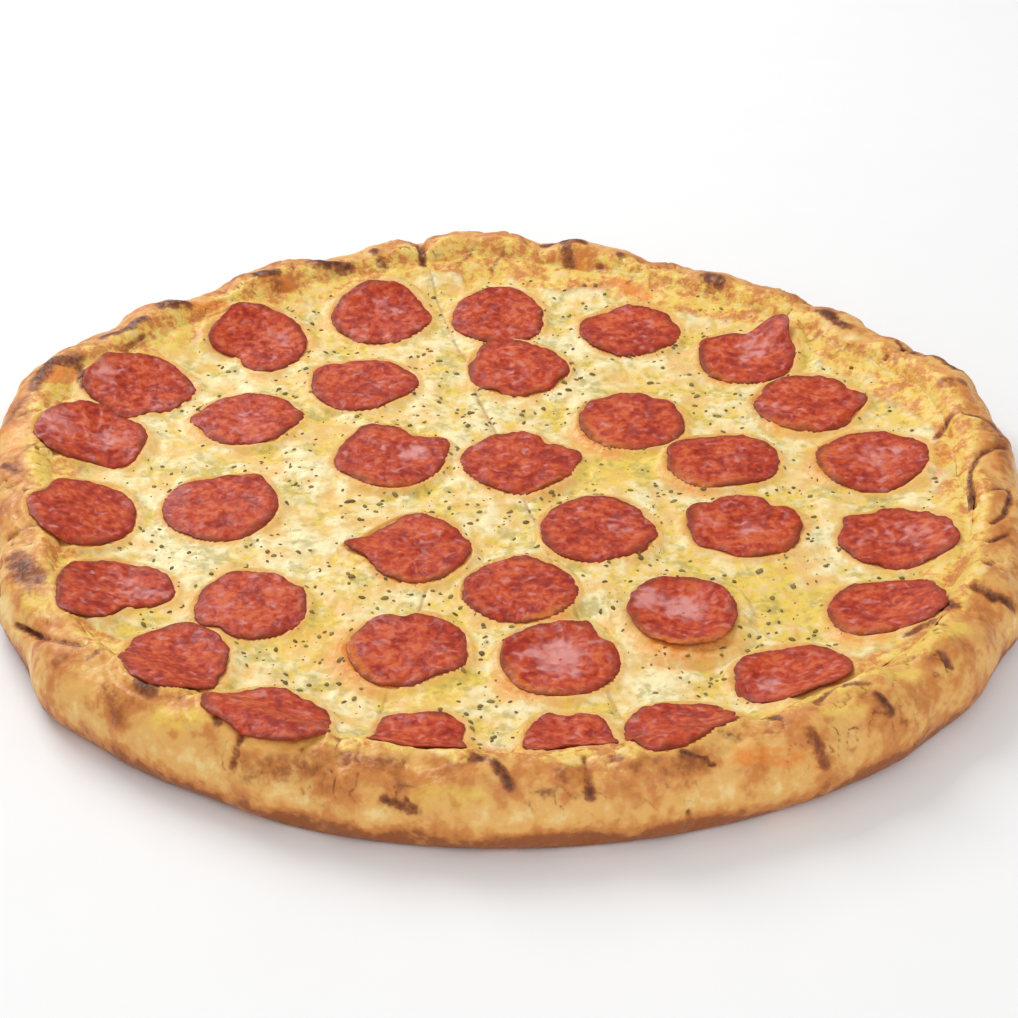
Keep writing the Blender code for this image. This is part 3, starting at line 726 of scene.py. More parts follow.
CHEESE_LAYERS = (
    ("cheese_yellow", "yellowness", 0.35, 1.0, 1.0),
    ("baked_golden", "tan", 0.15, 0.7, 0.5),
    ("cheese_white", "whiteness", -0.4, 0.35, 0.9),
    ("cheese_olive", "staining", 0.6, 1.5, 0.7),
)
CHEESE_TOP_LAYERS = (
    ("baked", "rim", 0.1, 0.8, 1.0),
    ("dough_brown", "cut", 0.15, 0.8, 0.6),
)
MEAT_LAYERS = (
    ("meat_red", "shade", 0.42, 0.76, 1.0),
    ("meat_light", "shade", 0.72, 0.98, 0.8),
    ("meat_fat", "flecks", 0.6, 0.8, 0.3),
    # The painted sheen on the slices, laid over the fat flecks in the same colour
    ("meat_fat", "flecks_and_sheen", 1.1, 2.3, 0.85),
    # Oil and painted shade at the slices' edges on the sides of their widest pools
    ("oil_orange", "oil_and_shade_edge", 0.4, 1.1, 0.7),
    ("meat_edge", "border", 0.92, 1.16, 0.85),
)

# Herb dust on the cheese: its cells, the share of them with a speck and the specks' size, then the range of
# the broad mottling that it follows and how much it shows at each end of that
DUST_SPECKS = {"Scale": 330.0, "Share": 0.35, "Size": 0.5}
DUST_RANGE = (0.0, 0.8, 0.06, 0.24)

# Surfaces: the roughness of smooth and rough places, the gloss, how much and how deep light soaks in,
# how much of the mottling is in the bump, and the bump's height and strength
DOUGH_SURFACE = ((0.36, 0.56), 0.35, 0.08, 0.004, 1.2, 0.0005, 0.28)
CHEESE_SURFACE = ((0.36, 0.56), 0.35, 0.08, 0.004, 1.2, 0.0005, 0.22)
MEAT_SURFACE = ((0.38, 0.56), 0.26, 0.05, 0.002, 1.2, 0.0006, 0.4)

# The fine grain of the bumps, and the plainer surfaces of the herbs and the floor
PORE_SMOOTHNESS = 0.6
BAKED_GRAIN = {"Scale": 600.0, "Pores": 0.5}
HERB_GRAIN = {"Scale": 2500.0, "Pores": 0.5}
HERB_BUMP = (0.0002, 0.6)
HERB_ROUGHNESS = 0.6
FLOOR_ROUGHNESS = 0.8
FLOOR_DARKER = 0.985

# The lights: where each stands and how wide it is, in metres
KEY_LIGHT = ((-0.75, 0.95, 1.1), 0.9)
FILL_LIGHT = ((0.35, -1.3, 1.1), 1.4)

# The camera, whose lens is shifted by shares of the frame's width
CAMERA_ELEVATION = 33.0
CAMERA_DISTANCE = 850.0
CAMERA_LENS = 87.7
CAMERA_SENSOR = 36.0
CAMERA_SHIFT = (0.0044, 0.0079)
FLOOR_SIZE = 6.0


def from_screen(red, green, blue):
    """The linear colour of a colour given in the 0 to 255 of a screen."""
    return tuple((channel / SCREEN_LEVELS) ** SCREEN_POWER for channel in (red, green, blue))


def length_property(name, description, default, least, most):
    """A length that the user can change, given in millimetres."""
    return bpy.props.FloatProperty(
        name=name,
        description=description,
        default=default * MM,
        min=least * MM,
        max=most * MM,
        precision=5,
        unit="LENGTH",
    )


def light_property(name, description, default):
    """How strong a light is, which the user can change."""
    return bpy.props.FloatProperty(name=name, description=description, default=default, min=0.0)


class PizzaSizes(bpy.types.PropertyGroup):
    """Sizes of the fine forms that are laid over the solid parts."""

    lump_height: length_property("Dough lumps", "How high the soft lumps of the rim stand", 1.1, 0.0, 3.0)
    crag_depth: length_property("Crust crags", "How deep the small cracks of the rim are", 0.8, 0.0, 2.0)
    cheese_wave: length_property("Cheese waves", "How high the cheese stands in small waves", 0.7, 0.0, 1.5)
    slice_thickness: length_property(
        "Slice thickness", "How thick each meat slice is", CAD_THICKNESS, 0.8, 2.4
    )
    flake_count: bpy.props.IntProperty(
        name="Herb flakes",
        description="How many small herb flakes are scattered on the cheese",
        default=1100,
        min=0,
        max=3000,
    )
    flake_length: length_property("Flake length", "The mean length of a scattered herb flake", 1.1, 0.4, 4.0)


def colour_property(name, description, red, green, blue):
    """A colour that the user can change, with its default given as on a screen."""
    return bpy.props.FloatVectorProperty(
        name=name,
        description=description,
        subtype="COLOR",
        size=3,
        min=0.0,
        max=1.0,
        default=from_screen(red, green, blue),
    )


class PizzaColours(bpy.types.PropertyGroup):
    """Colours of the baked dough, the cheese, the meat and the herbs."""

    dough_pale: colour_property("Pale dough", "The least baked dough of the rim's side", 242, 208, 138)
    dough_golden: colour_property("Golden dough", "The rim's usual colour", 232, 176, 98)
    dough_toasted: colour_property("Toasted dough", "The rim's top where it is well baked", 208, 132, 66)
    # Brown dough: real browning of creases and the foot, and also the painted shade at the foot
    dough_brown: colour_property("Brown dough", "The rim's foot and its browned creases", 146, 80, 40)
    dough_burnt: colour_property("Burnt dough", "Blisters and creases that are nearly burnt", 84, 46, 24)
    baked_golden: colour_property("Baked cheese", "Cheese baked on the rim's inner side", 234, 176, 92)
    cheese_cream: colour_property("Cream cheese", "The usual colour of the melted cheese", 241, 207, 135)
    cheese_yellow: colour_property("Yellow cheese", "The yellower places of the cheese", 239, 204, 90)
    # White cheese: whiter places, and also the wave tops whitened as a painted highlight
    cheese_white: colour_property("White cheese", "The whiter places of the cheese", 252, 238, 186)
    cheese_olive: colour_property("Olive cheese", "Places that the herbs have stained", 178, 160, 92)
    # Orange oil: the meat's real oil, and the painted shade below the slices' front edges
    oil_orange: colour_property("Orange oil", "The oil that runs from the meat", 230, 132, 50)
    meat_red: colour_property("Meat red", "The meat's usual colour", 190, 66, 32)
    meat_dark: colour_property("Dark meat", "The meat's darker grains", 152, 42, 26)
    meat_light: colour_property("Light meat", "The meat's oily lighter grains", 214, 104, 60)
    # Fat colour: the meat's real fat flecks, and also the painted sheen on the slices
    meat_fat: colour_property("Fat", "The pale flecks and places of the meat", 222, 148, 142)
    meat_edge: colour_property("Meat edge", "The meat's browned edge", 122, 44, 22)
    herb_green: colour_property("Herb green", "The greener herb flakes", 150, 136, 72)
    herb_brown: colour_property("Herb brown", "The browner herb flakes", 112, 86, 48)


class PizzaStage(bpy.types.PropertyGroup):
    """The floor, the lights and the camera."""

    floor_colour: colour_property("Floor", "The plain floor below the pizza", 246, 246, 246)
    key_power: light_property("Key light", "The large soft light behind on the left, in watts", 16.0)
    fill_power: light_property("Fill light", "The wide soft light at the front, in watts", 9.5)
    sky_strength: light_property("Sky", "How bright the even light from all round is", 0.53)
    camera_elevation: bpy.props.FloatProperty(
        name="Camera elevation",
        description="The camera's angle above the floor",
        default=math.radians(CAMERA_ELEVATION),
        subtype="ANGLE",
    )
    camera_distance: length_property(
        "Camera distance", "How far the camera is from the pizza", CAMERA_DISTANCE, 300.0, 5000.0
    )


def bearing_gap(bearing, at):
    """How far bearings are from another one, from -180 to 180 degrees."""
    return (bearing - at + HALF_TURN) % FULL_TURN - HALF_TURN


def around(steps):
    """The bearings of the steps of a ring."""
    return np.arange(steps) * FULL_TURN / steps


def bell(away, size):
    """A soft bump, 1 high: e to minus the square of the distance in sizes."""
    return np.exp(-((away / size) ** 2))


def swell(bearing, at, half_width):
    """A soft bump centred on one bearing."""
    return bell(bearing_gap(bearing, at), half_width)


def rows_of(table, order):
    """The rows of a table that belong to one slice, without its number."""
    return [row[1:] for row in table if row[0] == order]


def smooth_step(low, high, value):
    """Rises smoothly from 0 at low to 1 at high: 3 t squared less 2 t cubed."""
    share = np.clip((value - low) / (high - low), 0.0, 1.0)
    return share * share * (3.0 - 2.0 * share)


def corner_value(place, seed):
    """A number from 0 to 1 for each lattice corner, the same for the same corner and seed."""
    mixed = seed * STIR_SEED
    for along, factor in zip(place, STIR_PLACES):
        mixed = mixed ^ (along * factor)
    mixed = (mixed ^ (mixed >> BIT_SHIFTS[0])) & KEPT_BITS[0]
    mixed = (mixed * STIR_AGAIN) & KEPT_BITS[1]
    mixed = mixed ^ (mixed >> BIT_SHIFTS[1])
    return (mixed & KEPT_BITS[2]) / KEPT_BITS[2]


def soft_noise(x, y, z, size, seed):
    """Noise from -1 to 1 in lumps of about this size: corner values, blended by a quintic curve."""
    cells = []
    blends = []
    for along in (x, y, z):
        place = np.asarray(along, float) / size
        cell = np.floor(place)
        part = place - cell
        cells.append(cell.astype(np.int64))
        blends.append(part**3 * (part * (part * 6.0 - 15.0) + 10.0))
    total = 0.0
    for corner in itertools.product((0, 1), repeat=3):
        weight = 1.0
        for blend, side in zip(blends, corner):
            weight = weight * (blend if side else 1.0 - blend)
        total = total + weight * corner_value([cell + side for cell, side in zip(cells, corner)], seed)
    return 2.0 * total - 1.0


def layered_noise(x, y, z, size, seed, layers):
    """Soft noise with finer noise laid over it, each layer half the size and about half the height."""
    total = 0.0
    for layer in range(layers):
        finer = soft_noise(x, y, z, size / 2.0**layer, seed + LAYER_SEED_STEP * layer)
        total = total + finer * LAYER_HEIGHT**layer
    return total


def polar(x, y):
    """The radius and the bearing of places."""
    return np.hypot(x, y), np.degrees(np.arctan2(y, x))


def outline_offset(bearing):
    """How far the real outline lies outside the mean one: the sum of the broad swells."""
    return sum(out * swell(bearing, at, half) for at, half, out in OUTLINE_SWELLS)


def height_offset(bearing):
    """How far the rim's top lies above its mean height: the sum of the height swells."""
    return sum(up * swell(bearing, at, half) for at, half, up in HEIGHT_SWELLS)


def rim_share(radius):
    """0 over the middle of the pizza, 1 at the rim."""
    return smooth_step(*SWELL_RADII, radius)


def rim_lift(radius, bearing, height):
    """How far the rim's swells raise a place that lies at this height on the mean rim."""
    height_share = np.clip((height - WELL_HEIGHT) / (RIM_HEIGHT - WELL_HEIGHT), 0.0, 1.0)
    return rim_share(radius) * height_share * height_offset(bearing)


def follow_outline(radius, bearing, height):
    """Moves places of the mean pizza out and up with the swells of the rim."""
    moved = radius + rim_share(radius) * outline_offset(bearing)
    raised = height + rim_lift(radius, bearing, height)
    angle = np.radians(bearing)
    return moved * np.cos(angle), moved * np.sin(angle), raised


def inset_at(x, y):
    """How far a place lies in from the outline."""
    radius, bearing = polar(x, y)
    return DOUGH_RADIUS + rim_share(radius) * outline_offset(bearing) - radius


def ramp(inset, bearing, rise):
    """The cheese's top: level, then a power of the way to the rim, eased off over the crown."""
    share = np.clip((CHEESE_RAMP_START - inset) / CHEESE_RAMP_RUN, 0.0, None)
    power = RAMP_POWER + FRONT_POWER * swell(bearing, FRONT_BEARING, FRONT_HALF_WIDTH)
    climb = rise * share**power
    return CHEESE_TOP + climb / (1.0 + (climb / CROWN_RISE) ** CROWN_EASE) ** (1.0 / CROWN_EASE)


def slope_height(inset):
    """The height of the rim's inner slope: half a cosine wave from the crown down to the well."""
    share = np.clip((inset - CROWN_INSET) / (SLOPE_END - CROWN_INSET), 0.0, 1.0)
    return WELL_HEIGHT + (RIM_HEIGHT - WELL_HEIGHT) * (0.5 + 0.5 * np.cos(np.pi * share**SLOPE_POWER))


def rim_section():
    """The crust's section, from near the well's middle over the crown and back below: insets and heights.

    The inner slope is a cosine, the crown's outer side a quarter of a squeezed ellipse and the foot an arc.
    """
    innermost = DOUGH_RADIUS * INNERMOST_SHARE
    well = np.linspace(innermost, SLOPE_END, WELL_ROWS, endpoint=False)
    slope = np.linspace(SLOPE_END, CROWN_INSET, SLOPE_ROWS, endpoint=False)
    flank = np.radians(np.linspace(90.0, 0.0, FLANK_ROWS, endpoint=False))
    foot = np.radians(np.linspace(0.0, -FOOT_ARC, BELOW_ROWS))
    base = np.linspace(SLOPE_END / 2.0, innermost, BASE_ROWS)
    flank_inset = CROWN_INSET * (1.0 - np.cos(flank).clip(0.0) ** FLANK_POWER)
    foot_inset = 2.0 * FOOT_INSET * (1.0 - np.cos(foot))
    foot_height = BULGE_HEIGHT * (1.0 + np.sin(foot) / np.sin(np.radians(FOOT_ARC)))
    insets = (well, slope, flank_inset, foot_inset, base)
    heights = (
        np.full_like(well, WELL_HEIGHT),
        slope_height(slope),
        BULGE_HEIGHT + (RIM_HEIGHT - BULGE_HEIGHT) * np.sin(flank),
        foot_height,
        np.zeros_like(base),
    )
    return np.concatenate(insets), np.concatenate(heights)


def rim_relief(bearing, inset, radius):
    """How far the rim stands out at its named blisters, and in at its named folds."""
    push = -sum(depth * swell(bearing, at, half) for at, half, depth in RIM_FOLDS)
    for at, middle, size, height in RIM_BLISTERS:
        across = np.radians(bearing_gap(bearing, at)) * radius
        push = push + height * bell(np.hypot(across, inset - middle), size)
    return push


def section_height(inset):
    """The height of the mean rim's upper side: a squeezed ellipse outside the crown, the slope inside it."""
    cosine = np.clip(1.0 - inset / CROWN_INSET, 0.0, 1.0) ** (1.0 / FLANK_POWER)
    outer = BULGE_HEIGHT + (RIM_HEIGHT - BULGE_HEIGHT) * np.sqrt(1.0 - cosine**2)
    return np.where(inset < CROWN_INSET, outer, slope_height(inset))


def away_from_line(ends, bearing, inset, height):
    """How far places on the rim are from a line between two places on it, and the share along it."""
    start_bearing, start_inset, end_bearing, end_inset = ends
    start_height, end_height = section_height(np.array((start_inset, end_inset)))
    middle = DOUGH_RADIUS - (start_inset + end_inset) / 2.0
    turned = np.radians(bearing_gap(bearing, start_bearing)) * middle
    offset = np.stack((turned, inset - start_inset, height - start_height))
    turn = np.radians(bearing_gap(end_bearing, start_bearing)) * middle
    run = np.array((turn, end_inset - start_inset, end_height - start_height))
    share = np.clip(np.tensordot(run, offset, 1) / (run @ run), 0.0, 1.0)
    away = offset - run.reshape(-1, *(1,) * share.ndim) * share
    return np.sqrt((away**2).sum(0)), share


def line_mask(rows, bearing, inset, height):
    """The strongest of some named soft lines on the rim."""
    mask = np.zeros_like(bearing)
    for *ends, half_width, strength in rows:
        away = away_from_line(ends, bearing, inset, height)[0]
        mask = np.maximum(mask, strength * bell(away, half_width))
    return mask


def rim_marks(bearing, inset, height):
    """How deep the rim is pressed in at its marks, and how dark they are: grooves and knobs on lines."""
    depth = np.zeros_like(bearing)
    dark = np.zeros_like(bearing)
    for *ends, half_width, deep, darkness in RIM_MARKS:
        away, share = away_from_line(ends, bearing, inset, height)
        taper = MARK_TAPER[0] + MARK_TAPER[1] * np.sin(np.pi * (MARK_SPAN[0] + MARK_SPAN[1] * share))
        groove = bell(away, half_width)
        depth = depth + MARK_DEPTH * deep * groove * taper
        dark = np.maximum(dark, darkness * (MARK_DARK[0] + MARK_DARK[1] * taper) * groove)
    return np.clip(depth, *MARK_LIMITS), dark


def slice_reach(place, bearing):
    """The radius of a slice at each bearing from its middle, with its dents and tips."""
    return place.diameter / 2.0 + sum(out * swell(bearing, at, half) for at, half, out in place.tips)


def slice_underside(place, order, x, y, share, bearing):
    """The height of a slice's underside before it is set down.

    It is the cheese's ramp with a wave, a cup and a lifted side, by the share of the radius and the bearing.
    """
    place_radius, place_bearing = polar(x, y)
    wave = SLICE_WAVE * share**2 * np.cos(SLICE_WAVES * np.radians(bearing) + SLICE_WAVE_TURN * order)
    side = share * np.cos(np.radians(bearing - place.lift_at))
    raised = place.lift * np.clip(0.5 + 0.5 * side, 0.0, 1.0) ** SLICE_LIFT_POWER
    height = ramp(inset_at(x, y), place_bearing, SLICE_RAMP_RISE)
    height = height + rim_lift(place_radius, place_bearing, height)
    return height + wave + place.cup * share**2 + raised


def slice_points(place, share, bearing):
    """Where a share of a slice's radius lies, at each bearing from its middle."""
    reach = slice_reach(place, bearing)
    angle = np.radians(bearing)
    return place.x + share * reach * np.cos(angle), place.y + share * reach * np.sin(angle)


def setting_down(order):
    """How far a slice is moved down onto what is below it: the solid's highest point less this one's."""
    place = SLICES[order - 1]
    share, bearing = np.meshgrid((0.0, SLICE_INNER_RING, 1.0), around(SLICE_STEPS))
    x, y = slice_points(place, share, bearing)
    thickness = CAD_THICKNESS * (1.0 - CAD_EDGE_THINNING * share**CAD_EDGE_POWER)
    height = slice_underside(place, order, x, y, share, bearing) + thickness
    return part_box(f"pepperoni_{order:02d}")[1].z / MM - height.max() - SLICE_SINK


def slice_cover(x, y):
    """How places lie to the slices: how far outside the nearest one, the lowest underside over them, and the
    height that their bed may rise to.
    """
    outside = np.full(np.shape(x), FAR)
    ceiling = np.full(np.shape(x), FAR)
    bed = np.full(np.shape(x), -FAR)
    for order, place in enumerate(SLICES, 1):
        away, bearing = polar(x - place.x, y - place.y)
        near = away < place.diameter / 2.0 + BED_LOOK
        reach = slice_reach(place, bearing[near])
        gap = away[near] - reach
        share = np.clip(away[near] / reach, 0.0, 1.0)
        under = slice_underside(place, order, x[near], y[near], share, bearing[near]) + setting_down(order)
        outside[near] = np.minimum(outside[near], gap)
        ceiling[near] = np.where(gap < BED_UNDER, np.minimum(ceiling[near], under), ceiling[near])
        fall = BED_FALL * smooth_step(*BED_FALL_GAPS, gap)
        bed[near] = np.maximum(bed[near], np.where(gap < BED_REACH, under + BED_RISE - fall, -FAR))
    return outside, ceiling, bed


def bed_down(x, y, height, gap):
    """Raises a surface a little round the slices that lie on it, and keeps it this gap below them."""
    ceiling, bed = slice_cover(x, y)[1:]
    raised = height + np.clip(bed - gap - height, 0.0, BED_MOST)
    return np.minimum(raised, ceiling - gap)


def oil_and_shade_mask(x, y):
    """Oil round the slices: an even halo of oil, and wider pools of oil and painted shade at the named
    sides.
    """
    oil_and_shade = np.zeros_like(x)
    for order, place in enumerate(SLICES, 1):
        away, bearing = polar(x - place.x, y - place.y)
        gap = np.clip(away - slice_reach(place, bearing), 0.0, None)
        oil_and_shade = np.maximum(oil_and_shade, OIL_EDGE_STRENGTH * bell(gap, OIL_EDGE_WIDTH))
        for at, half, out, strength in rows_of(OIL_AND_SHADE_POOLS, order):
            side = swell(bearing, at, half)
            oil_and_shade = np.maximum(oil_and_shade, strength * side * bell(gap, OIL_LEAST_WIDTH + out * side))
    return oil_and_shade


def cheese_bumps(x, y):
    """The low waves of the solid part's cheese: sines of several lengths and bearings."""
    height = np.zeros_like(x)
    for wave in range(CHEESE_BUMPS):
        turn = CHEESE_BUMP_TURN * wave
        length = CHEESE_BUMP_LENGTH + CHEESE_BUMP_LENGTH_STEP * wave
        along = x * math.cos(turn) + y * math.sin(turn)
        phase = 2.0 * math.pi * along / length + CHEESE_BUMP_PHASE * wave
        height += CHEESE_BUMP_HEIGHT * np.sin(phase)
    return height


def cut_mask(x, y):
    """How deep the knife cuts are: a soft groove along each wandering line, which fades out at its ends."""
    depth = np.zeros_like(x)
    for at_x, at_y, bearing, back, ahead, half_width, deep in CHEESE_CUTS:
        turn = math.radians(bearing)
        along = (x - at_x) * math.cos(turn) + (y - at_y) * math.sin(turn)
        across = (y - at_y) * math.cos(turn) - (x - at_x) * math.sin(turn)
        across = across + CUT_WANDER * np.sin(along / CUT_WANDER_LENGTH)
        begun = smooth_step(-back - CUT_END, -back, along)
        ended = smooth_step(ahead, ahead + CUT_END, along)
        depth = np.maximum(depth, deep * begun * (1.0 - ended) * bell(across, half_width))
    return depth


def cheese_waves(x, y):
    """Small uneven waves of the melted cheese: noise, and strings where bent noise passes through 0."""
    level = 0.0 * x
    bend = STRING_BEND * layered_noise(x, y, level, *STRING_BEND_NOISE)
    strings = 1.0 - np.abs(layered_noise(x + bend, y, level, *STRING_NOISE))
    return layered_noise(x, y, level, *WAVE_NOISE) + STRING_HEIGHT * (strings - STRING_LEVEL)


def cheese_edge_inset(bearing):
    """How far in the cheese's ragged edge lies: the mean inset and noise round a ring."""
    angle = np.radians(bearing)
    ring = (CHEESE_EDGE_RING * np.cos(angle), CHEESE_EDGE_RING * np.sin(angle), 0.0 * angle)
    wander = layered_noise(*ring, *CHEESE_EDGE_NOISE)
    return CHEESE_EDGE_INSET - CHEESE_EDGE_REACH + CHEESE_EDGE_WANDER * wander


def cheese_surface(share, bearing, wave_height):
    """The top of the melted cheese at a share of the way to its edge, and its waves as a fourth part.

    It is the ramp with waves, cuts and beds for slices. Near the edge it rounds down to a thin skin on the
    rim's inner slope: the root of 1 less the square of the share of the rounding that is left.
    """
    edge = DOUGH_RADIUS - cheese_edge_inset(bearing)
    radius = share * edge
    inset = DOUGH_RADIUS - radius
    x, y, height = follow_outline(radius, bearing, ramp(inset, bearing, CHEESE_RAMP_RISE))
    waves = cheese_waves(x, y)
    inner = smooth_step(CHEESE_EDGE_INSET, CHEESE_EDGE_INSET + CHEESE_BUMP_FADE, inset)
    height = height + inner * cheese_bumps(x, y)
    height = height + wave_height * waves - cut_mask(x, y)
    height = bed_down(x, y, height, CHEESE_BED_GAP)
    left = 1.0 - np.clip((edge - radius) / CHEESE_EDGE_ROUND, 0.0, 1.0)
    floor = follow_outline(radius, bearing, slope_height(inset))[2] - CHEESE_EDGE_SINK
    height = floor + (np.maximum(height, floor + CHEESE_SKIN) - floor) * np.sqrt(1.0 - left**2)
    return x, y, height, waves


def add_rings(name, x, y, z, top, bottom):
    """Makes a closed mesh from rings, row by row from the top middle to the bottom one, in millimetres."""
    rows, steps = x.shape
    count = rows * steps
    points = np.vstack((np.column_stack((x.ravel(), y.ravel(), z.ravel())), top, bottom)) * MM
    index = np.arange(count).reshape(rows, steps)
    following = np.roll(index, -1, axis=1)
    quads = np.stack((index[:-1], index[1:], following[1:], following[:-1]), axis=-1).reshape(-1, 4)
    first = np.stack((np.full(steps, count), index[0], following[0]), axis=-1)
    last = np.stack((index[-1], np.full(steps, count + 1), following[-1]), axis=-1)
    return add_mesh(name, points, quads.tolist() + first.tolist() + last.tolist())


def add_mesh(name, points, faces):
    """Puts a smooth mesh in the scene. Its points are metres, and its object stays at the origin."""
    mesh = bpy.data.meshes.new(name)
    mesh.from_pydata(points.tolist(), [], faces)
    mesh.shade_smooth()
    mesh.update()
    piece = bpy.data.objects.new(name, mesh)
    bpy.context.scene.collection.objects.link(piece)
    return piece


def add_attribute(piece, name, values, middles=(0.0, 0.0)):
    """Keeps a number for each point of a piece, and for its two middles, for its material to read."""
    numbers = np.concatenate((np.asarray(values, float).ravel(), middles)).astype(np.float32)
    attribute = piece.data.attributes.new(name, "FLOAT", "POINT")
    attribute.data.foreach_set("value", numbers)


def crag_mask(x, y, z):
    """Where the toasted dough is cracked: along the lines where noise passes through nothing, in patches."""
    cracks = 1.0 - np.abs(layered_noise(x, y, z, *CRACK_NOISE))
    patches = smooth_step(*CRACK_PATCHES, layered_noise(x, y, z, *CRACK_PATCH_NOISE))
    return smooth_step(*CRACK_SHARPNESS, cracks) * patches


def build_crust(sizes):
    """The dough: the section carried round the outline, then pushed out from the rim's core or in towards it
    by blisters and lumps, folds, marks and crags.
    """
    inset_row, height_row = rim_section()
    inset, bearing = np.meshgrid(inset_row, around(CRUST_STEPS), indexing="ij")
    height = np.repeat(height_row[:, None], CRUST_STEPS, axis=1)
    x, y, z = follow_outline(DOUGH_RADIUS - inset, bearing, height)
    radius = np.hypot(x, y)
    broad = smooth_step(*RELIEF_HEIGHTS, height) * (1.0 - smooth_step(*RELIEF_FADE, inset))
    fine = smooth_step(*LUMP_HEIGHTS, height) * (1.0 - smooth_step(*LUMP_FADE, inset))
    rough = ROUGH_LEAST + (1.0 - ROUGH_LEAST) * smooth_step(*ROUGH_HEIGHTS, height)
    pressed, dark = rim_marks(bearing, inset, height)
    lumps = layered_noise(x, y, z, *LUMP_NOISE)
    crags = crag_mask(x, y, z)
    relief = rough * (sizes.lump_height * lumps - sizes.crag_depth * crags) / MM - pressed
    push = broad * rim_relief(bearing, inset, radius) + fine * relief
    outward = CORE_INSET - inset
    upward = height - BULGE_HEIGHT
    length = np.hypot(outward, upward)
    scale = 1.0 + push * outward / length / radius
    x = x * scale
    y = y * scale
    z = np.where(height > BASE_HEIGHT, np.maximum(z + push * upward / length, 0.0), 0.0)
    above = upward > 0.0
    gap = CRUST_BED_GAP + CRUST_BED_SINK * smooth_step(*CRUST_BED_SINK_INSETS, inset)
    z = np.where(above & (inset > CRUST_BED_INSET), bed_down(x, y, z, gap), z)
    piece = add_rings("crust_dough", x, y, z, (0.0, 0.0, WELL_HEIGHT), (0.0, 0.0, 0.0))
    crown = smooth_step(*CROWN_HEIGHTS, height) * (1.0 - CROWN_FALL * smooth_step(*CROWN_INSETS, inset))
    # The foot is darkened, partly as real browning and partly as painted shade
    foot = 1.0 - smooth_step(*FOOT_BROWN_AND_SHADE_HEIGHTS, height)
    toast_and_shade = TOAST_LEAST + TOAST_CROWN * crown + TOAST_LUMPS * np.clip(lumps, -1.0, 1.0) + foot
    melt = smooth_step(*MELT_INSETS, inset + MELT_WANDER * lumps) * above
    add_attribute(piece, "toast_and_shade", toast_and_shade, TOAST_MIDDLES)
    add_attribute(piece, "melt", melt, MELT_MIDDLES)
    add_attribute(piece, "burn", np.maximum(dark, CRAG_BURN * crags * rough * fine))
    add_attribute(piece, "red", line_mask(RIM_REDS, bearing, inset, height))
    add_attribute(piece, "yellow", line_mask(RIM_YELLOWS, bearing, inset, height))
    add_attribute(piece, "oil_and_shade", oil_and_shade_mask(x, y) * above)
    return piece


def cheese_underside():
    """The plain underside of the cheese, from its edge in to the foot of the slope: rings of x, y and z."""
    edge = cheese_edge_inset(around(CHEESE_STEPS))
    share = np.linspace(0.0, 1.0, CHEESE_UNDER_ROWS)[:, None]
    inset = edge + (SLOPE_END + CHEESE_UNDER_INNER - edge) * share
    bearing = np.repeat(around(CHEESE_STEPS)[None, :], CHEESE_UNDER_ROWS, axis=0)
    radius = DOUGH_RADIUS - inset - CHEESE_UNDER_GAP
    x, y, z = follow_outline(radius, bearing, slope_height(inset))
    return x, y, z + CHEESE_UNDER_GAP * share


def build_cheese(sizes):
    """The melted cheese: its top worked out ring by ring, and a plain underside that follows the dough."""
    shares = np.linspace(0.0, 1.0, CHEESE_ROWS + 1)[1:]
    share, bearing = np.meshgrid(shares, around(CHEESE_STEPS), indexing="ij")
    wave_height = sizes.cheese_wave / MM
    *top, waves = cheese_surface(share, bearing, wave_height)
    x, y, z = (np.vstack(pair) for pair in zip(top, cheese_underside()))
    middle = cheese_surface(np.zeros((1, 1)), np.zeros((1, 1)), wave_height)[2][0, 0]
    under_middle = WELL_HEIGHT + CHEESE_UNDER_GAP
    piece = add_rings("melted_cheese", x, y, z, (0.0, 0.0, middle), (0.0, 0.0, under_middle))
    # Named yellower and whiter places, and the wave tops whiter as a painted highlight over yellower oily
    # hollows
    patches_and_highlight = np.zeros_like(x)
    patches_and_highlight[: len(waves)] = WAVE_HIGHLIGHT_AND_OIL * waves
    for at_x, at_y, size, strength in CHEESE_PATCHES:
        patches_and_highlight = patches_and_highlight + strength * bell(np.hypot(x - at_x, y - at_y), size)
    inset = inset_at(x, y)
    bearing = polar(x, y)[1]
    on_rim = (bearing, inset, section_height(inset))
    ragged = BAKED_WANDER * layered_noise(x, y, 0.0 * x, *BAKED_EDGE_NOISE)
    back = BAKED_BACK * smooth_step(*BACK_SIDE, np.sin(np.radians(bearing)))
    add_attribute(piece, "patches_and_highlight", patches_and_highlight)
    add_attribute(piece, "rim", 1.0 - smooth_step(*BAKED_INSETS, inset + ragged - back))
    add_attribute(piece, "burn", rim_marks(*on_rim)[1])
    add_attribute(piece, "red", line_mask(RIM_REDS, *on_rim))
    add_attribute(piece, "yellow", line_mask(RIM_YELLOWS, *on_rim))
    add_attribute(piece, "oil_and_shade", oil_and_shade_mask(x, y))
    add_attribute(piece, "cut", cut_mask(x, y))
    return piece


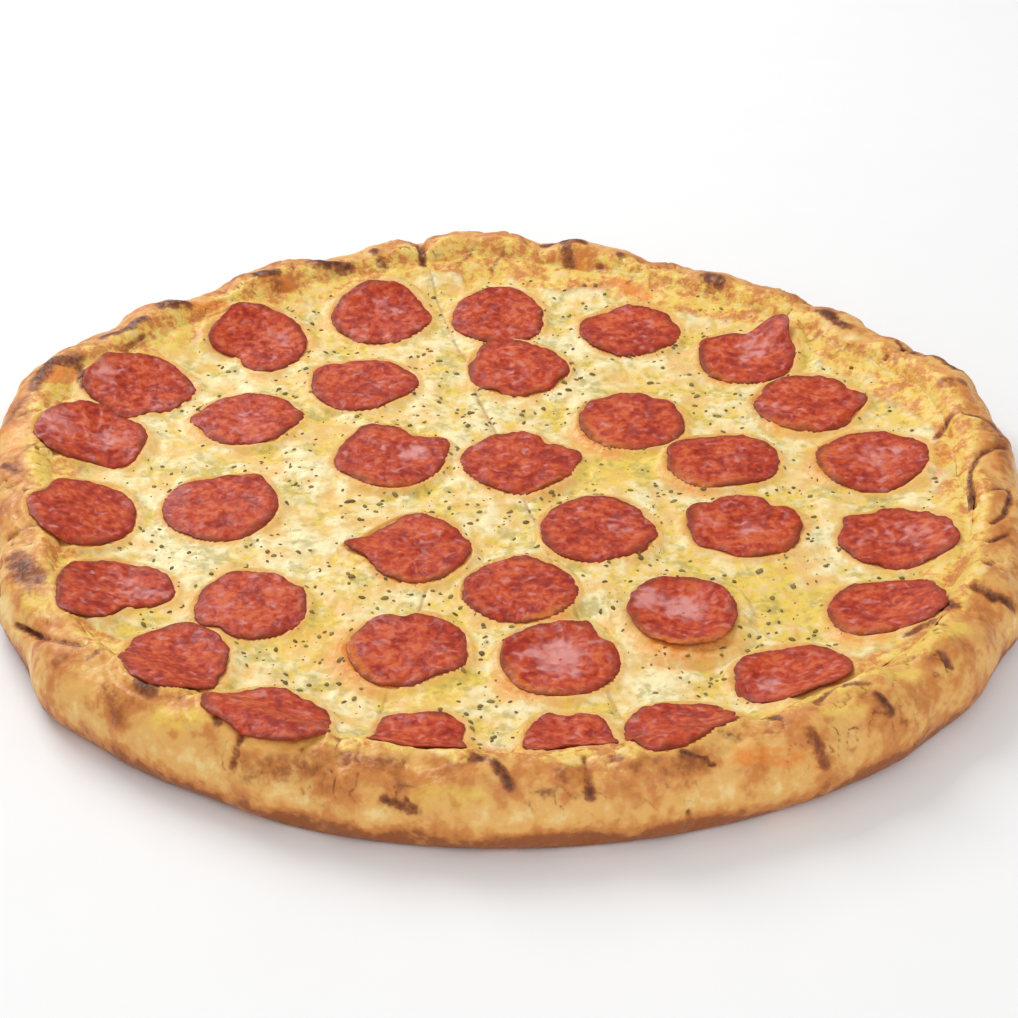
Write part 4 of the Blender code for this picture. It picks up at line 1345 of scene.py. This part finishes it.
def slice_section(radius, thickness):
    """A slice's section, from its middle over its edge, half a circle, and back below: shares and levels.

    The shares are of its radius, and the levels are 1 on its top and 0 on its underside.
    """
    edge = 0.5 * thickness / radius
    turn = np.radians(np.linspace(90.0, -90.0, SLICE_EDGE_ROWS + 2)[1:-1])
    top = np.linspace(0.0, 1.0 - edge, SLICE_TOP_ROWS + 1)[1:]
    under = np.linspace(1.0 - edge, 0.0, SLICE_UNDER_ROWS + 1)[:-1]
    shares = np.concatenate((top, 1.0 - edge + edge * np.cos(turn), under))
    levels = np.concatenate((np.ones_like(top), 0.5 + 0.5 * np.sin(turn), np.zeros_like(under)))
    return shares, levels


def build_slice(order, sizes):
    """One slice: rings from its middle over its edge and back below, carried on its bent underside."""
    place = SLICES[order - 1]
    radius = place.diameter / 2.0
    thickness = sizes.slice_thickness / MM
    share_row, level_row = slice_section(radius, thickness)
    share, bearing = np.meshgrid(share_row, around(SLICE_SIDES), indexing="ij")
    level = np.repeat(level_row[:, None], SLICE_SIDES, axis=1)
    angle = np.radians(bearing)
    own = np.full_like(angle, order * SLICE_NOISE_STEP)
    ring = (SLICE_EDGE_RING * np.cos(angle), SLICE_EDGE_RING * np.sin(angle), own)
    edge_share = share**SLICE_EDGE_POWER
    ragged = SLICE_EDGE_ROUGHNESS * layered_noise(*ring, *SLICE_EDGE_NOISE) * edge_share
    x, y = slice_points(place, share * (1.0 + ragged / radius), bearing)
    drop = setting_down(order)
    z = slice_underside(place, order, x, y, share, bearing) + drop
    for at, half, height in rows_of(SLICE_CURLS, order):
        z = z + height * swell(bearing, at, half) * edge_share
    thick = thickness * (1.0 - SLICE_EDGE_THINNING * edge_share)
    z = z + level * (thick + SLICE_TOP_ROUGHNESS * layered_noise(x, y, own, *SLICE_TOP_NOISE))
    middle = slice_underside(place, order, place.x, place.y, 0.0, 0.0) + drop
    middles = ((place.x, place.y, middle + thickness), (place.x, place.y, middle))
    piece = add_rings(f"slice_{order:02d}", x, y, z, *middles)
    # Painted sheen: paler places on the slice's top that stand in for the gloss of light
    painted_sheen = np.zeros_like(x)
    for across, away, size, strength in rows_of(PAINTED_SHEENS, order):
        far = np.hypot(x - place.x - across, y - place.y - away)
        painted_sheen = np.maximum(painted_sheen, strength * bell(far, size))
    # Oil and painted shade on the slice's edge at the sides of its widest pools
    oil_and_shade_edge = np.zeros_like(x)
    for at, half, _, strength in rows_of(OIL_AND_SHADE_POOLS, order):
        oil_and_shade_edge = np.maximum(oil_and_shade_edge, strength * swell(bearing, at, half) * smooth_step(*SLICE_OIL_AND_SHADE_SHARES, share))
    add_attribute(piece, "edge", share)
    add_attribute(piece, "painted_sheen", painted_sheen * (level > 0.5))
    add_attribute(piece, "oil_and_shade", oil_and_shade_edge)
    return piece


def flake_spots(count, length):
    """The x, y, length, turn and tone of each flake: named ones, then seeded ones clear of the slices."""
    draw = np.random.default_rng(FLAKE_SEED)
    named = np.array(NAMED_FLAKES, float)
    tries = FLAKE_TRIES * count
    radius = FLAKE_RADIUS * np.sqrt(draw.uniform(0.0, 1.0, tries))
    bearing = draw.uniform(0.0, FULL_TURN, tries)
    lengths = length * draw.uniform(*FLAKE_LENGTHS, tries) ** 2
    turns = draw.uniform(0.0, FULL_TURN, tries)
    x = radius * np.cos(np.radians(bearing))
    y = radius * np.sin(np.radians(bearing))
    clear = slice_cover(x, y)[0] > FLAKE_CLEARANCE
    crowded = layered_noise(x, y, 0.0 * x, *FLAKE_CROWD_NOISE) > draw.uniform(*FLAKE_CROWDS, tries)
    kept = np.flatnonzero(clear & crowded)[:count]
    columns = [column[kept] for column in (x, y, lengths, turns)]
    x, y, lengths, turns = (np.concatenate(pair) for pair in zip(named.T, columns))
    return x, y, lengths, turns, draw.uniform(0.0, 1.0, len(x))


def unit(vectors):
    """Vectors at length 1."""
    return vectors / np.linalg.norm(vectors, axis=1, keepdims=True)


def flake_axes(shares, bearing, turns, wave_height, draw):
    """Where each flake lies on the cheese, and its axes: along it, across it and up, a little tilted."""
    here = np.stack(cheese_surface(shares, bearing, wave_height)[:3], axis=-1)
    out = np.stack(cheese_surface(shares + FLAKE_PROBE_SHARE, bearing, wave_height)[:3], axis=-1) - here
    aside = np.stack(cheese_surface(shares, bearing + FLAKE_PROBE_TURN, wave_height)[:3], axis=-1) - here
    tilt = FLAKE_TILT * draw.uniform(-0.5, 0.5, (len(turns), 3)) * (1.0, 1.0, 0.0)
    up = unit(unit(np.cross(out, aside)) + tilt)
    angle = np.radians(turns)
    left = unit(np.cross(up, np.column_stack((np.cos(angle), np.sin(angle), 0.0 * angle))))
    return here, np.stack((np.cross(left, up), left, up), axis=1)


def flake_faces(count):
    """The faces of all the flakes: four-sided up to the inner ring, and three-sided to the middles."""
    side = np.arange(FLAKE_SIDES)
    after = np.roll(side, -1)
    top = np.full(FLAKE_SIDES, 2 * FLAKE_SIDES)
    upper = np.column_stack((side, after, after + FLAKE_SIDES, side + FLAKE_SIDES))
    cap = np.column_stack((side + FLAKE_SIDES, after + FLAKE_SIDES, top))
    under = np.column_stack((after, side, top + 1))
    start = (np.arange(count) * (2 * FLAKE_SIDES + 2))[:, None, None]
    faces = []
    for part in (upper, cap, under):
        faces += (start + part).reshape(-1, part.shape[1]).tolist()
    return faces


def build_flakes(sizes):
    """Small curled leaves: a ragged outline, a raised inner ring and two middles, laid along the cheese."""
    x, y, lengths, turns, tones = flake_spots(sizes.flake_count, sizes.flake_length / MM)
    draw = np.random.default_rng(FLAKE_SEED + 1)
    radius, bearing = polar(x, y)
    edge = DOUGH_RADIUS - cheese_edge_inset(bearing)
    shares = (radius - rim_share(radius) * outline_offset(bearing)) / edge
    here, axes = flake_axes(shares, bearing, turns, sizes.cheese_wave / MM, draw)
    width = draw.uniform(*FLAKE_WIDTH, len(x)) * lengths
    angle = np.radians(around(FLAKE_SIDES))
    ragged = draw.uniform(*FLAKE_RAGGED, (len(x), FLAKE_SIDES))
    along = np.cos(angle) * ragged * lengths[:, None] / 2.0
    across = np.sin(angle) * ragged * width[:, None] / 2.0
    thick = FLAKE_THICKNESS * np.clip(lengths, *FLAKE_THICK_LENGTHS)[:, None]
    rise = FLAKE_INNER_RISE * thick + 0.0 * along
    outline = np.stack((along, across, 0.0 * along), axis=-1)
    inner = np.stack((FLAKE_INNER_RING * along, FLAKE_INNER_RING * across, rise), axis=-1)
    middles = np.stack((thick, -FLAKE_BELOW * thick), axis=1) * (0.0, 0.0, 1.0)
    local = np.concatenate((outline, inner, middles), axis=1)
    points = here[:, None, :] + np.einsum("fpa,fax->fpx", local, axes)
    piece = add_mesh("herb_flakes", points.reshape(-1, 3) * MM, flake_faces(len(x)))
    add_attribute(piece, "tone", np.repeat(tones, points.shape[1]), ())
    return piece


def add_node(tree, kind, inputs=(), **settings):
    """Adds a shader node with its settings and its named or numbered inputs, and returns it."""
    node = tree.nodes.new(kind)
    for name, value in settings.items():
        setattr(node, name, value)
    set_inputs(tree, node, dict(inputs))
    return node


def set_inputs(tree, node, inputs):
    """Sets a node's inputs to values or links."""
    for name, value in inputs.items():
        if isinstance(value, bpy.types.NodeSocket):
            tree.links.new(value, node.inputs[name])
        else:
            node.inputs[name].default_value = value


def calculate(tree, operation, first, second=0.0, third=0.0):
    """The result of a maths node."""
    return add_node(tree, "ShaderNodeMath", {0: first, 1: second, 2: third}, operation=operation).outputs[0]


def ease(tree, value, low, high, result_low=0.0, result_high=1.0):
    """A smooth rise from one result to another as the value goes from low to high."""
    inputs = {"Value": value, "From Min": low, "From Max": high, "To Min": result_low, "To Max": result_high}
    return add_node(tree, "ShaderNodeMapRange", inputs, interpolation_type="SMOOTHSTEP").outputs["Result"]


def blend_colours(tree, factor, first, second):
    """A mix of two colours."""
    inputs = {0: factor, 6: as_colour(first), 7: as_colour(second)}
    return add_node(tree, "ShaderNodeMix", inputs, data_type="RGBA").outputs[2]


def as_colour(value):
    """A colour with its alpha, or a socket as it is."""
    return value if isinstance(value, bpy.types.NodeSocket) else (*value, 1.0)


def read_attribute(tree, name):
    """The number that a piece's points hold."""
    return add_node(tree, "ShaderNodeAttribute", attribute_name=name).outputs["Fac"]


def new_group(name, inputs, output, kind="Float"):
    """An empty node group with one output. An input that is None is a vector, and a tuple is a colour."""
    group = bpy.data.node_groups.new(name, "ShaderNodeTree")
    for socket_name, default in inputs.items():
        socket_kind = "Vector" if default is None else "Color" if isinstance(default, tuple) else "Float"
        socket = group.interface.new_socket(
            socket_name, in_out="INPUT", socket_type=f"NodeSocket{socket_kind}"
        )
        if default is not None:
            socket.default_value = default
    group.interface.new_socket(output, in_out="OUTPUT", socket_type=f"NodeSocket{kind}")
    return group, group.nodes.new("NodeGroupInput").outputs, group.nodes.new("NodeGroupOutput").inputs[0]


def add_noise(tree, vector, scale, detail=2.0, distortion=0.0):
    """The value of a noise texture."""
    inputs = {"Vector": vector, "Scale": scale, "Detail": detail, "Distortion": distortion}
    return add_node(tree, "ShaderNodeTexNoise", inputs).outputs[0]


def add_sums(tree, values, sums):
    """Adds to some named values their weighted sums."""
    for name, weights in sums.items():
        total = 0.0
        for part, weight in weights.items():
            total = calculate(tree, "MULTIPLY_ADD", values[part], weight, total)
        values[name] = total


def add_layers(tree, base, layers, values, colours):
    """Lays layers of colour over a base, each as its value rises, and returns the colour on top."""
    result = base
    for name, value, low, high, most in layers:
        over = values[name] if name in values else getattr(colours, name)
        result = blend_colours(tree, ease(tree, values[value], low, high, 0.0, most), result, over)
    return result


def add_mottles(tree, where, mottles):
    """Named mottled noises, each with the scales of its broad and its fine part."""
    return {
        name: use_group(tree, mottle_group, Vector=where, Broad=broad, Fine=fine)
        for name, (broad, fine) in mottles.items()
    }


def mottle_group():
    """Uneven baking: broad noise with finer noise over it, from 0 to 1 about a half."""
    group, given, result = new_group("mottle", {"Vector": None, "Broad": 100.0, "Fine": 500.0}, "Value")
    values = {
        "broad": add_noise(group, given["Vector"], given["Broad"], BROAD_DETAIL),
        "fine": add_noise(group, given["Vector"], given["Fine"]),
    }
    add_sums(group, values, {"mixed": MOTTLE_WEIGHTS})
    group.links.new(ease(group, values["mixed"], *MOTTLE_RANGE), result)
    return group


def speck_group():
    """Small scattered specks: 1 inside the middles of some random cells, 0 beyond their size."""
    inputs = {"Vector": None, "Scale": 400.0, "Share": 0.3, "Size": 0.3}
    group, given, result = new_group("specks", inputs, "Mask")
    cells = add_node(group, "ShaderNodeTexVoronoi", {"Vector": given["Vector"], "Scale": given["Scale"]})
    chosen = add_node(group, "ShaderNodeSeparateColor", {"Color": cells.outputs["Color"]})
    picked = calculate(group, "LESS_THAN", chosen.outputs[0], given["Share"])
    limits = {
        "Value": cells.outputs["Distance"],
        "From Min": calculate(group, "MULTIPLY", given["Size"], 0.5),
        "From Max": given["Size"],
        "To Min": 1.0,
        "To Max": 0.0,
    }
    inside = add_node(group, "ShaderNodeMapRange", limits).outputs["Result"]
    group.links.new(calculate(group, "MULTIPLY", inside, picked), result)
    return group


def grain_group():
    """The height of a fine grain: soft pores and noise, for a bump."""
    group, given, result = new_group("grain", {"Vector": None, "Scale": 700.0, "Pores": 0.5}, "Height")
    noise = add_noise(group, given["Vector"], given["Scale"])
    inputs = {"Vector": given["Vector"], "Scale": given["Scale"], "Smoothness": PORE_SMOOTHNESS}
    pores = add_node(group, "ShaderNodeTexVoronoi", inputs, feature="SMOOTH_F1")
    depth = calculate(group, "MULTIPLY", pores.outputs["Distance"], given["Pores"])
    group.links.new(calculate(group, "ADD", noise, depth), result)
    return group


def baked_group():
    """The colour of the cheese that is baked on the rim: golden, with creamy, yellow and toasted places."""
    colours = bpy.context.scene.pizza_colours
    group, given, result = new_group("baked_cheese", {"Vector": None}, "Color", "Color")
    values = add_mottles(group, given["Vector"], BAKED_MOTTLES)
    add_sums(group, values, BAKED_SUMS)
    group.links.new(add_layers(group, colours.dough_toasted, BAKED_LAYERS, values, colours), result)
    return group


def marks_group():
    """Lays oil and painted shade, yellow, red and burnt places on a colour, each broken up by fine noise."""
    colours = bpy.context.scene.pizza_colours
    inputs = {"Color": (1.0, 1.0, 1.0, 1.0), "Vector": None, **dict.fromkeys(MARK_ATTRIBUTES, 0.0)}
    group, given, result = new_group("marks", inputs, "Color", "Color")
    small = add_mottles(group, given["Vector"], MARK_MOTTLES)["small"]
    uneven = calculate(group, "MULTIPLY_ADD", small, *MARK_UNEVEN)
    masks = {name: calculate(group, "MULTIPLY", given[name], uneven) for name in MARK_ATTRIBUTES}
    group.links.new(add_layers(group, given["Color"], MARK_LAYERS, masks, colours), result)
    return group


MAKERS = {
    "mottle": mottle_group,
    "specks": speck_group,
    "grain": grain_group,
    "baked_cheese": baked_group,
    "marks": marks_group,
}


def use_group(tree, maker, **inputs):
    """Places a shared node group, built when it is first used, and returns its output."""
    name = next(key for key, value in MAKERS.items() if value is maker)
    node = tree.nodes.new("ShaderNodeGroup")
    node.node_tree = bpy.data.node_groups.get(name) or maker()
    set_inputs(tree, node, inputs)
    return node.outputs[0]


def add_marks(tree, where, colour):
    """Lays the marks that the piece's points hold over its colour."""
    masks = {name: read_attribute(tree, name) for name in MARK_ATTRIBUTES}
    return use_group(tree, marks_group, Color=colour, Vector=where, **masks)


def new_material(name):
    """A material with an empty node tree but for its shader and output, and the object's coordinates."""
    material = bpy.data.materials.new(name)
    material.use_nodes = True
    tree = material.node_tree
    shader = tree.nodes["Principled BSDF"]
    where = tree.nodes.new("ShaderNodeTexCoord").outputs["Object"]
    return material, tree, shader, where


def add_bump(tree, shader, height, distance, strength):
    """Feeds a height to the shader's normal."""
    bump = add_node(tree, "ShaderNodeBump", {"Height": height, "Distance": distance, "Strength": strength})
    tree.links.new(bump.outputs["Normal"], shader.inputs["Normal"])


def finish_soft(tree, shader, colour, mottle, grain, surface):
    """Gives a soft surface its colour, its uneven gloss, the light that soaks in and its grain."""
    roughness, gloss, soaked, soak_depth, mottle_height, distance, strength = surface
    set_inputs(
        tree,
        shader,
        {
            "Base Color": colour,
            "Roughness": ease(tree, mottle, 0.0, 1.0, *roughness),
            "Specular IOR Level": gloss,
            "Subsurface Weight": soaked,
            "Subsurface Scale": soak_depth,
        },
    )
    add_bump(tree, shader, calculate(tree, "MULTIPLY_ADD", mottle, mottle_height, grain), distance, strength)


def read_attributes(tree, *names):
    """The named numbers that a piece's points hold."""
    return {name: read_attribute(tree, name) for name in names}


def dough_material(colours):
    """Baked dough: pale to brown by baking, with painted shade at the foot, baked cheese and the rim's
    marks.
    """
    material, tree, shader, where = new_material("baked_dough")
    values = add_mottles(tree, where, DOUGH_MOTTLES) | read_attributes(tree, "toast_and_shade", "melt")
    values["baked"] = use_group(tree, baked_group, Vector=where)
    add_sums(tree, values, DOUGH_SUMS)
    colour = add_marks(tree, where, add_layers(tree, colours.dough_pale, DOUGH_LAYERS, values, colours))
    grain = use_group(tree, grain_group, Vector=where, **BAKED_GRAIN)
    finish_soft(tree, shader, colour, values["small"], grain, DOUGH_SURFACE)
    return material


def cheese_material(colours):
    """Melted cheese: cream, yellow and white places with fine herb dust, baked golden near the rim."""
    material, tree, shader, where = new_material("melted_cheese")
    values = add_mottles(tree, where, CHEESE_MOTTLES) | read_attributes(tree, "patches_and_highlight", "rim", "cut")
    values["baked"] = use_group(tree, baked_group, Vector=where)
    add_sums(tree, values, CHEESE_SUMS)
    colour = add_layers(tree, colours.cheese_cream, CHEESE_LAYERS, values, colours)
    specks = use_group(tree, speck_group, Vector=where, **DUST_SPECKS)
    dust = calculate(tree, "MULTIPLY", specks, ease(tree, values["broad"], *DUST_RANGE))
    colour = blend_colours(tree, dust, colour, colours.herb_green)
    colour = add_marks(tree, where, add_layers(tree, colour, CHEESE_TOP_LAYERS, values, colours))
    grain = use_group(tree, grain_group, Vector=where, **BAKED_GRAIN)
    finish_soft(tree, shader, colour, values["small"], grain, CHEESE_SURFACE)
    return material


def meat_material(colours):
    """Cured meat: dark to light red grains, fat flecks, painted sheen, a brown edge, oil with painted shade.
    """
    material, tree, shader, where = new_material("cured_meat")
    values = add_mottles(tree, where, MEAT_MOTTLES) | read_attributes(tree, "painted_sheen", "oil_and_shade", "edge")
    for name, settings in MEAT_NOISES.items():
        values[name] = add_noise(tree, where, *settings)
    add_sums(tree, values, MEAT_SUMS)
    colour = add_layers(tree, colours.meat_dark, MEAT_LAYERS, values, colours)
    finish_soft(tree, shader, colour, values["broad"], values["grains"], MEAT_SURFACE)
    return material


def herb_material(colours):
    """Dried herb: green to brown from flake to flake, with a fine grain."""
    material, tree, shader, where = new_material("dried_herb")
    colour = blend_colours(tree, read_attribute(tree, "tone"), colours.herb_brown, colours.herb_green)
    set_inputs(tree, shader, {"Base Color": colour, "Roughness": HERB_ROUGHNESS})
    add_bump(tree, shader, use_group(tree, grain_group, Vector=where, **HERB_GRAIN), *HERB_BUMP)
    return material


def floor_material(colour):
    """A plain matt floor with hardly any tone of its own."""
    material, tree, shader, where = new_material("floor")
    tone = add_mottles(tree, where, FLOOR_MOTTLES)["tone"]
    darker = tuple(FLOOR_DARKER * channel for channel in colour)
    mixed = blend_colours(tree, tone, darker, tuple(colour))
    set_inputs(tree, shader, {"Base Color": mixed, "Roughness": FLOOR_ROUGHNESS})
    return material


def dress(piece, material, slot, *nodes):
    """Gives a finished piece its material and its body, and hides the solid parts that it stands for."""
    piece.data.materials.append(material)
    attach(piece, BODY)
    if nodes:
        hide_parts(*nodes)


class PIZZA_OT_crust(bpy.types.Operator):
    """Makes the baked dough rim and base"""

    bl_idname = "pizza.crust"
    bl_label = "Baked Crust"

    def execute(self, context):
        piece = build_crust(context.scene.pizza_sizes)
        dress(piece, dough_material(context.scene.pizza_colours), "crust", "crust")
        return {"FINISHED"}


class PIZZA_OT_cheese(bpy.types.Operator):
    """Makes the layer of melted cheese"""

    bl_idname = "pizza.cheese"
    bl_label = "Melted Cheese"

    def execute(self, context):
        piece = build_cheese(context.scene.pizza_sizes)
        dress(piece, cheese_material(context.scene.pizza_colours), "cheese", "cheese")
        return {"FINISHED"}


class PIZZA_OT_herbs(bpy.types.Operator):
    """Scatters the herb flakes over the cheese"""

    bl_idname = "pizza.herbs"
    bl_label = "Herb Flakes"

    def execute(self, context):
        piece = build_flakes(context.scene.pizza_sizes)
        dress(piece, herb_material(context.scene.pizza_colours), "cheese")
        return {"FINISHED"}


class PIZZA_OT_slices(bpy.types.Operator):
    """Lays the meat slices on the pizza"""

    bl_idname = "pizza.slices"
    bl_label = "Meat Slices"

    def execute(self, context):
        material = meat_material(context.scene.pizza_colours)
        for order in range(1, len(SLICES) + 1):
            piece = build_slice(order, context.scene.pizza_sizes)
            dress(piece, material, "pepperoni", f"pepperoni_{order:02d}")
        return {"FINISHED"}


class PIZZA_OT_studio(bpy.types.Operator):
    """Adds the floor, the soft lights and the camera"""

    bl_idname = "pizza.studio"
    bl_label = "Studio"

    def execute(self, context):
        stage = context.scene.pizza_stage
        add_floor(stage)
        add_light("key_light", *KEY_LIGHT, stage.key_power)
        add_light("fill_light", *FILL_LIGHT, stage.fill_power)
        add_sky(stage)
        add_camera(stage)
        return {"FINISHED"}


def add_floor(stage):
    """The plain floor that the pizza stands on."""
    half = FLOOR_SIZE / 2.0
    corners = np.array(((-half, -half, 0.0), (half, -half, 0.0), (half, half, 0.0), (-half, half, 0.0)))
    floor = add_mesh("floor", corners, [(0, 1, 2, 3)])
    floor.data.materials.append(floor_material(stage.floor_colour))


def add_light(name, location, size, power):
    """A square area light that shines at the middle of the pizza."""
    data = bpy.data.lights.new(name, "AREA")
    data.size = size
    data.energy = power
    light = bpy.data.objects.new(name, data)
    light.location = location
    light.rotation_mode = "QUATERNION"
    light.rotation_quaternion = light.location.to_track_quat("Z", "Y")
    bpy.context.scene.collection.objects.link(light)


def add_sky(stage):
    """An even white light from all round."""
    world = bpy.data.worlds.new("studio")
    world.use_nodes = True
    background = world.node_tree.nodes["Background"]
    background.inputs["Color"].default_value = (1.0, 1.0, 1.0, 1.0)
    background.inputs["Strength"].default_value = stage.sky_strength
    bpy.context.scene.world = world
    bpy.context.scene.view_settings.view_transform = "Standard"


def add_camera(stage):
    """The camera, aimed at the middle of the underside before its lens is shifted."""
    data = bpy.data.cameras.new("camera")
    data.lens = CAMERA_LENS
    data.sensor_width = CAMERA_SENSOR
    data.shift_x, data.shift_y = CAMERA_SHIFT
    camera = bpy.data.objects.new("camera", data)
    back = math.cos(stage.camera_elevation) * stage.camera_distance
    camera.location = (0.0, -back, math.sin(stage.camera_elevation) * stage.camera_distance)
    camera.rotation_euler = (math.pi / 2.0 - stage.camera_elevation, 0.0, 0.0)
    bpy.context.scene.collection.objects.link(camera)
    bpy.context.scene.camera = camera


class PIZZA_PT_panel(bpy.types.Panel):
    """The pizza's sizes, colours and steps in the sidebar"""

    bl_idname = "PIZZA_PT_panel"
    bl_label = "Baked Pizza"
    bl_space_type = "VIEW_3D"
    bl_region_type = "UI"
    bl_category = "Pizza"

    def draw(self, context):
        for group in (context.scene.pizza_sizes, context.scene.pizza_colours, context.scene.pizza_stage):
            for name in group.__annotations__:
                self.layout.prop(group, name)
        for operator in OPERATORS:
            self.layout.operator(operator.bl_idname)


OPERATORS = (PIZZA_OT_crust, PIZZA_OT_cheese, PIZZA_OT_herbs, PIZZA_OT_slices, PIZZA_OT_studio)
CLASSES = (PizzaSizes, PizzaColours, PizzaStage, *OPERATORS, PIZZA_PT_panel)


def register():
    """Registers the classes and the properties that they use."""
    for kind in CLASSES:
        bpy.utils.register_class(kind)
    bpy.types.Scene.pizza_sizes = bpy.props.PointerProperty(type=PizzaSizes)
    bpy.types.Scene.pizza_colours = bpy.props.PointerProperty(type=PizzaColours)
    bpy.types.Scene.pizza_stage = bpy.props.PointerProperty(type=PizzaStage)


def unregister():
    """Removes the properties and the classes."""
    del bpy.types.Scene.pizza_stage
    del bpy.types.Scene.pizza_colours
    del bpy.types.Scene.pizza_sizes
    for kind in reversed(CLASSES):
        bpy.utils.unregister_class(kind)


def main():
    """Builds every piece and the stage."""
    register()
    bpy.ops.pizza.crust()
    bpy.ops.pizza.cheese()
    bpy.ops.pizza.herbs()
    bpy.ops.pizza.slices()
    bpy.ops.pizza.studio()


if __name__ == "__main__":
    main()
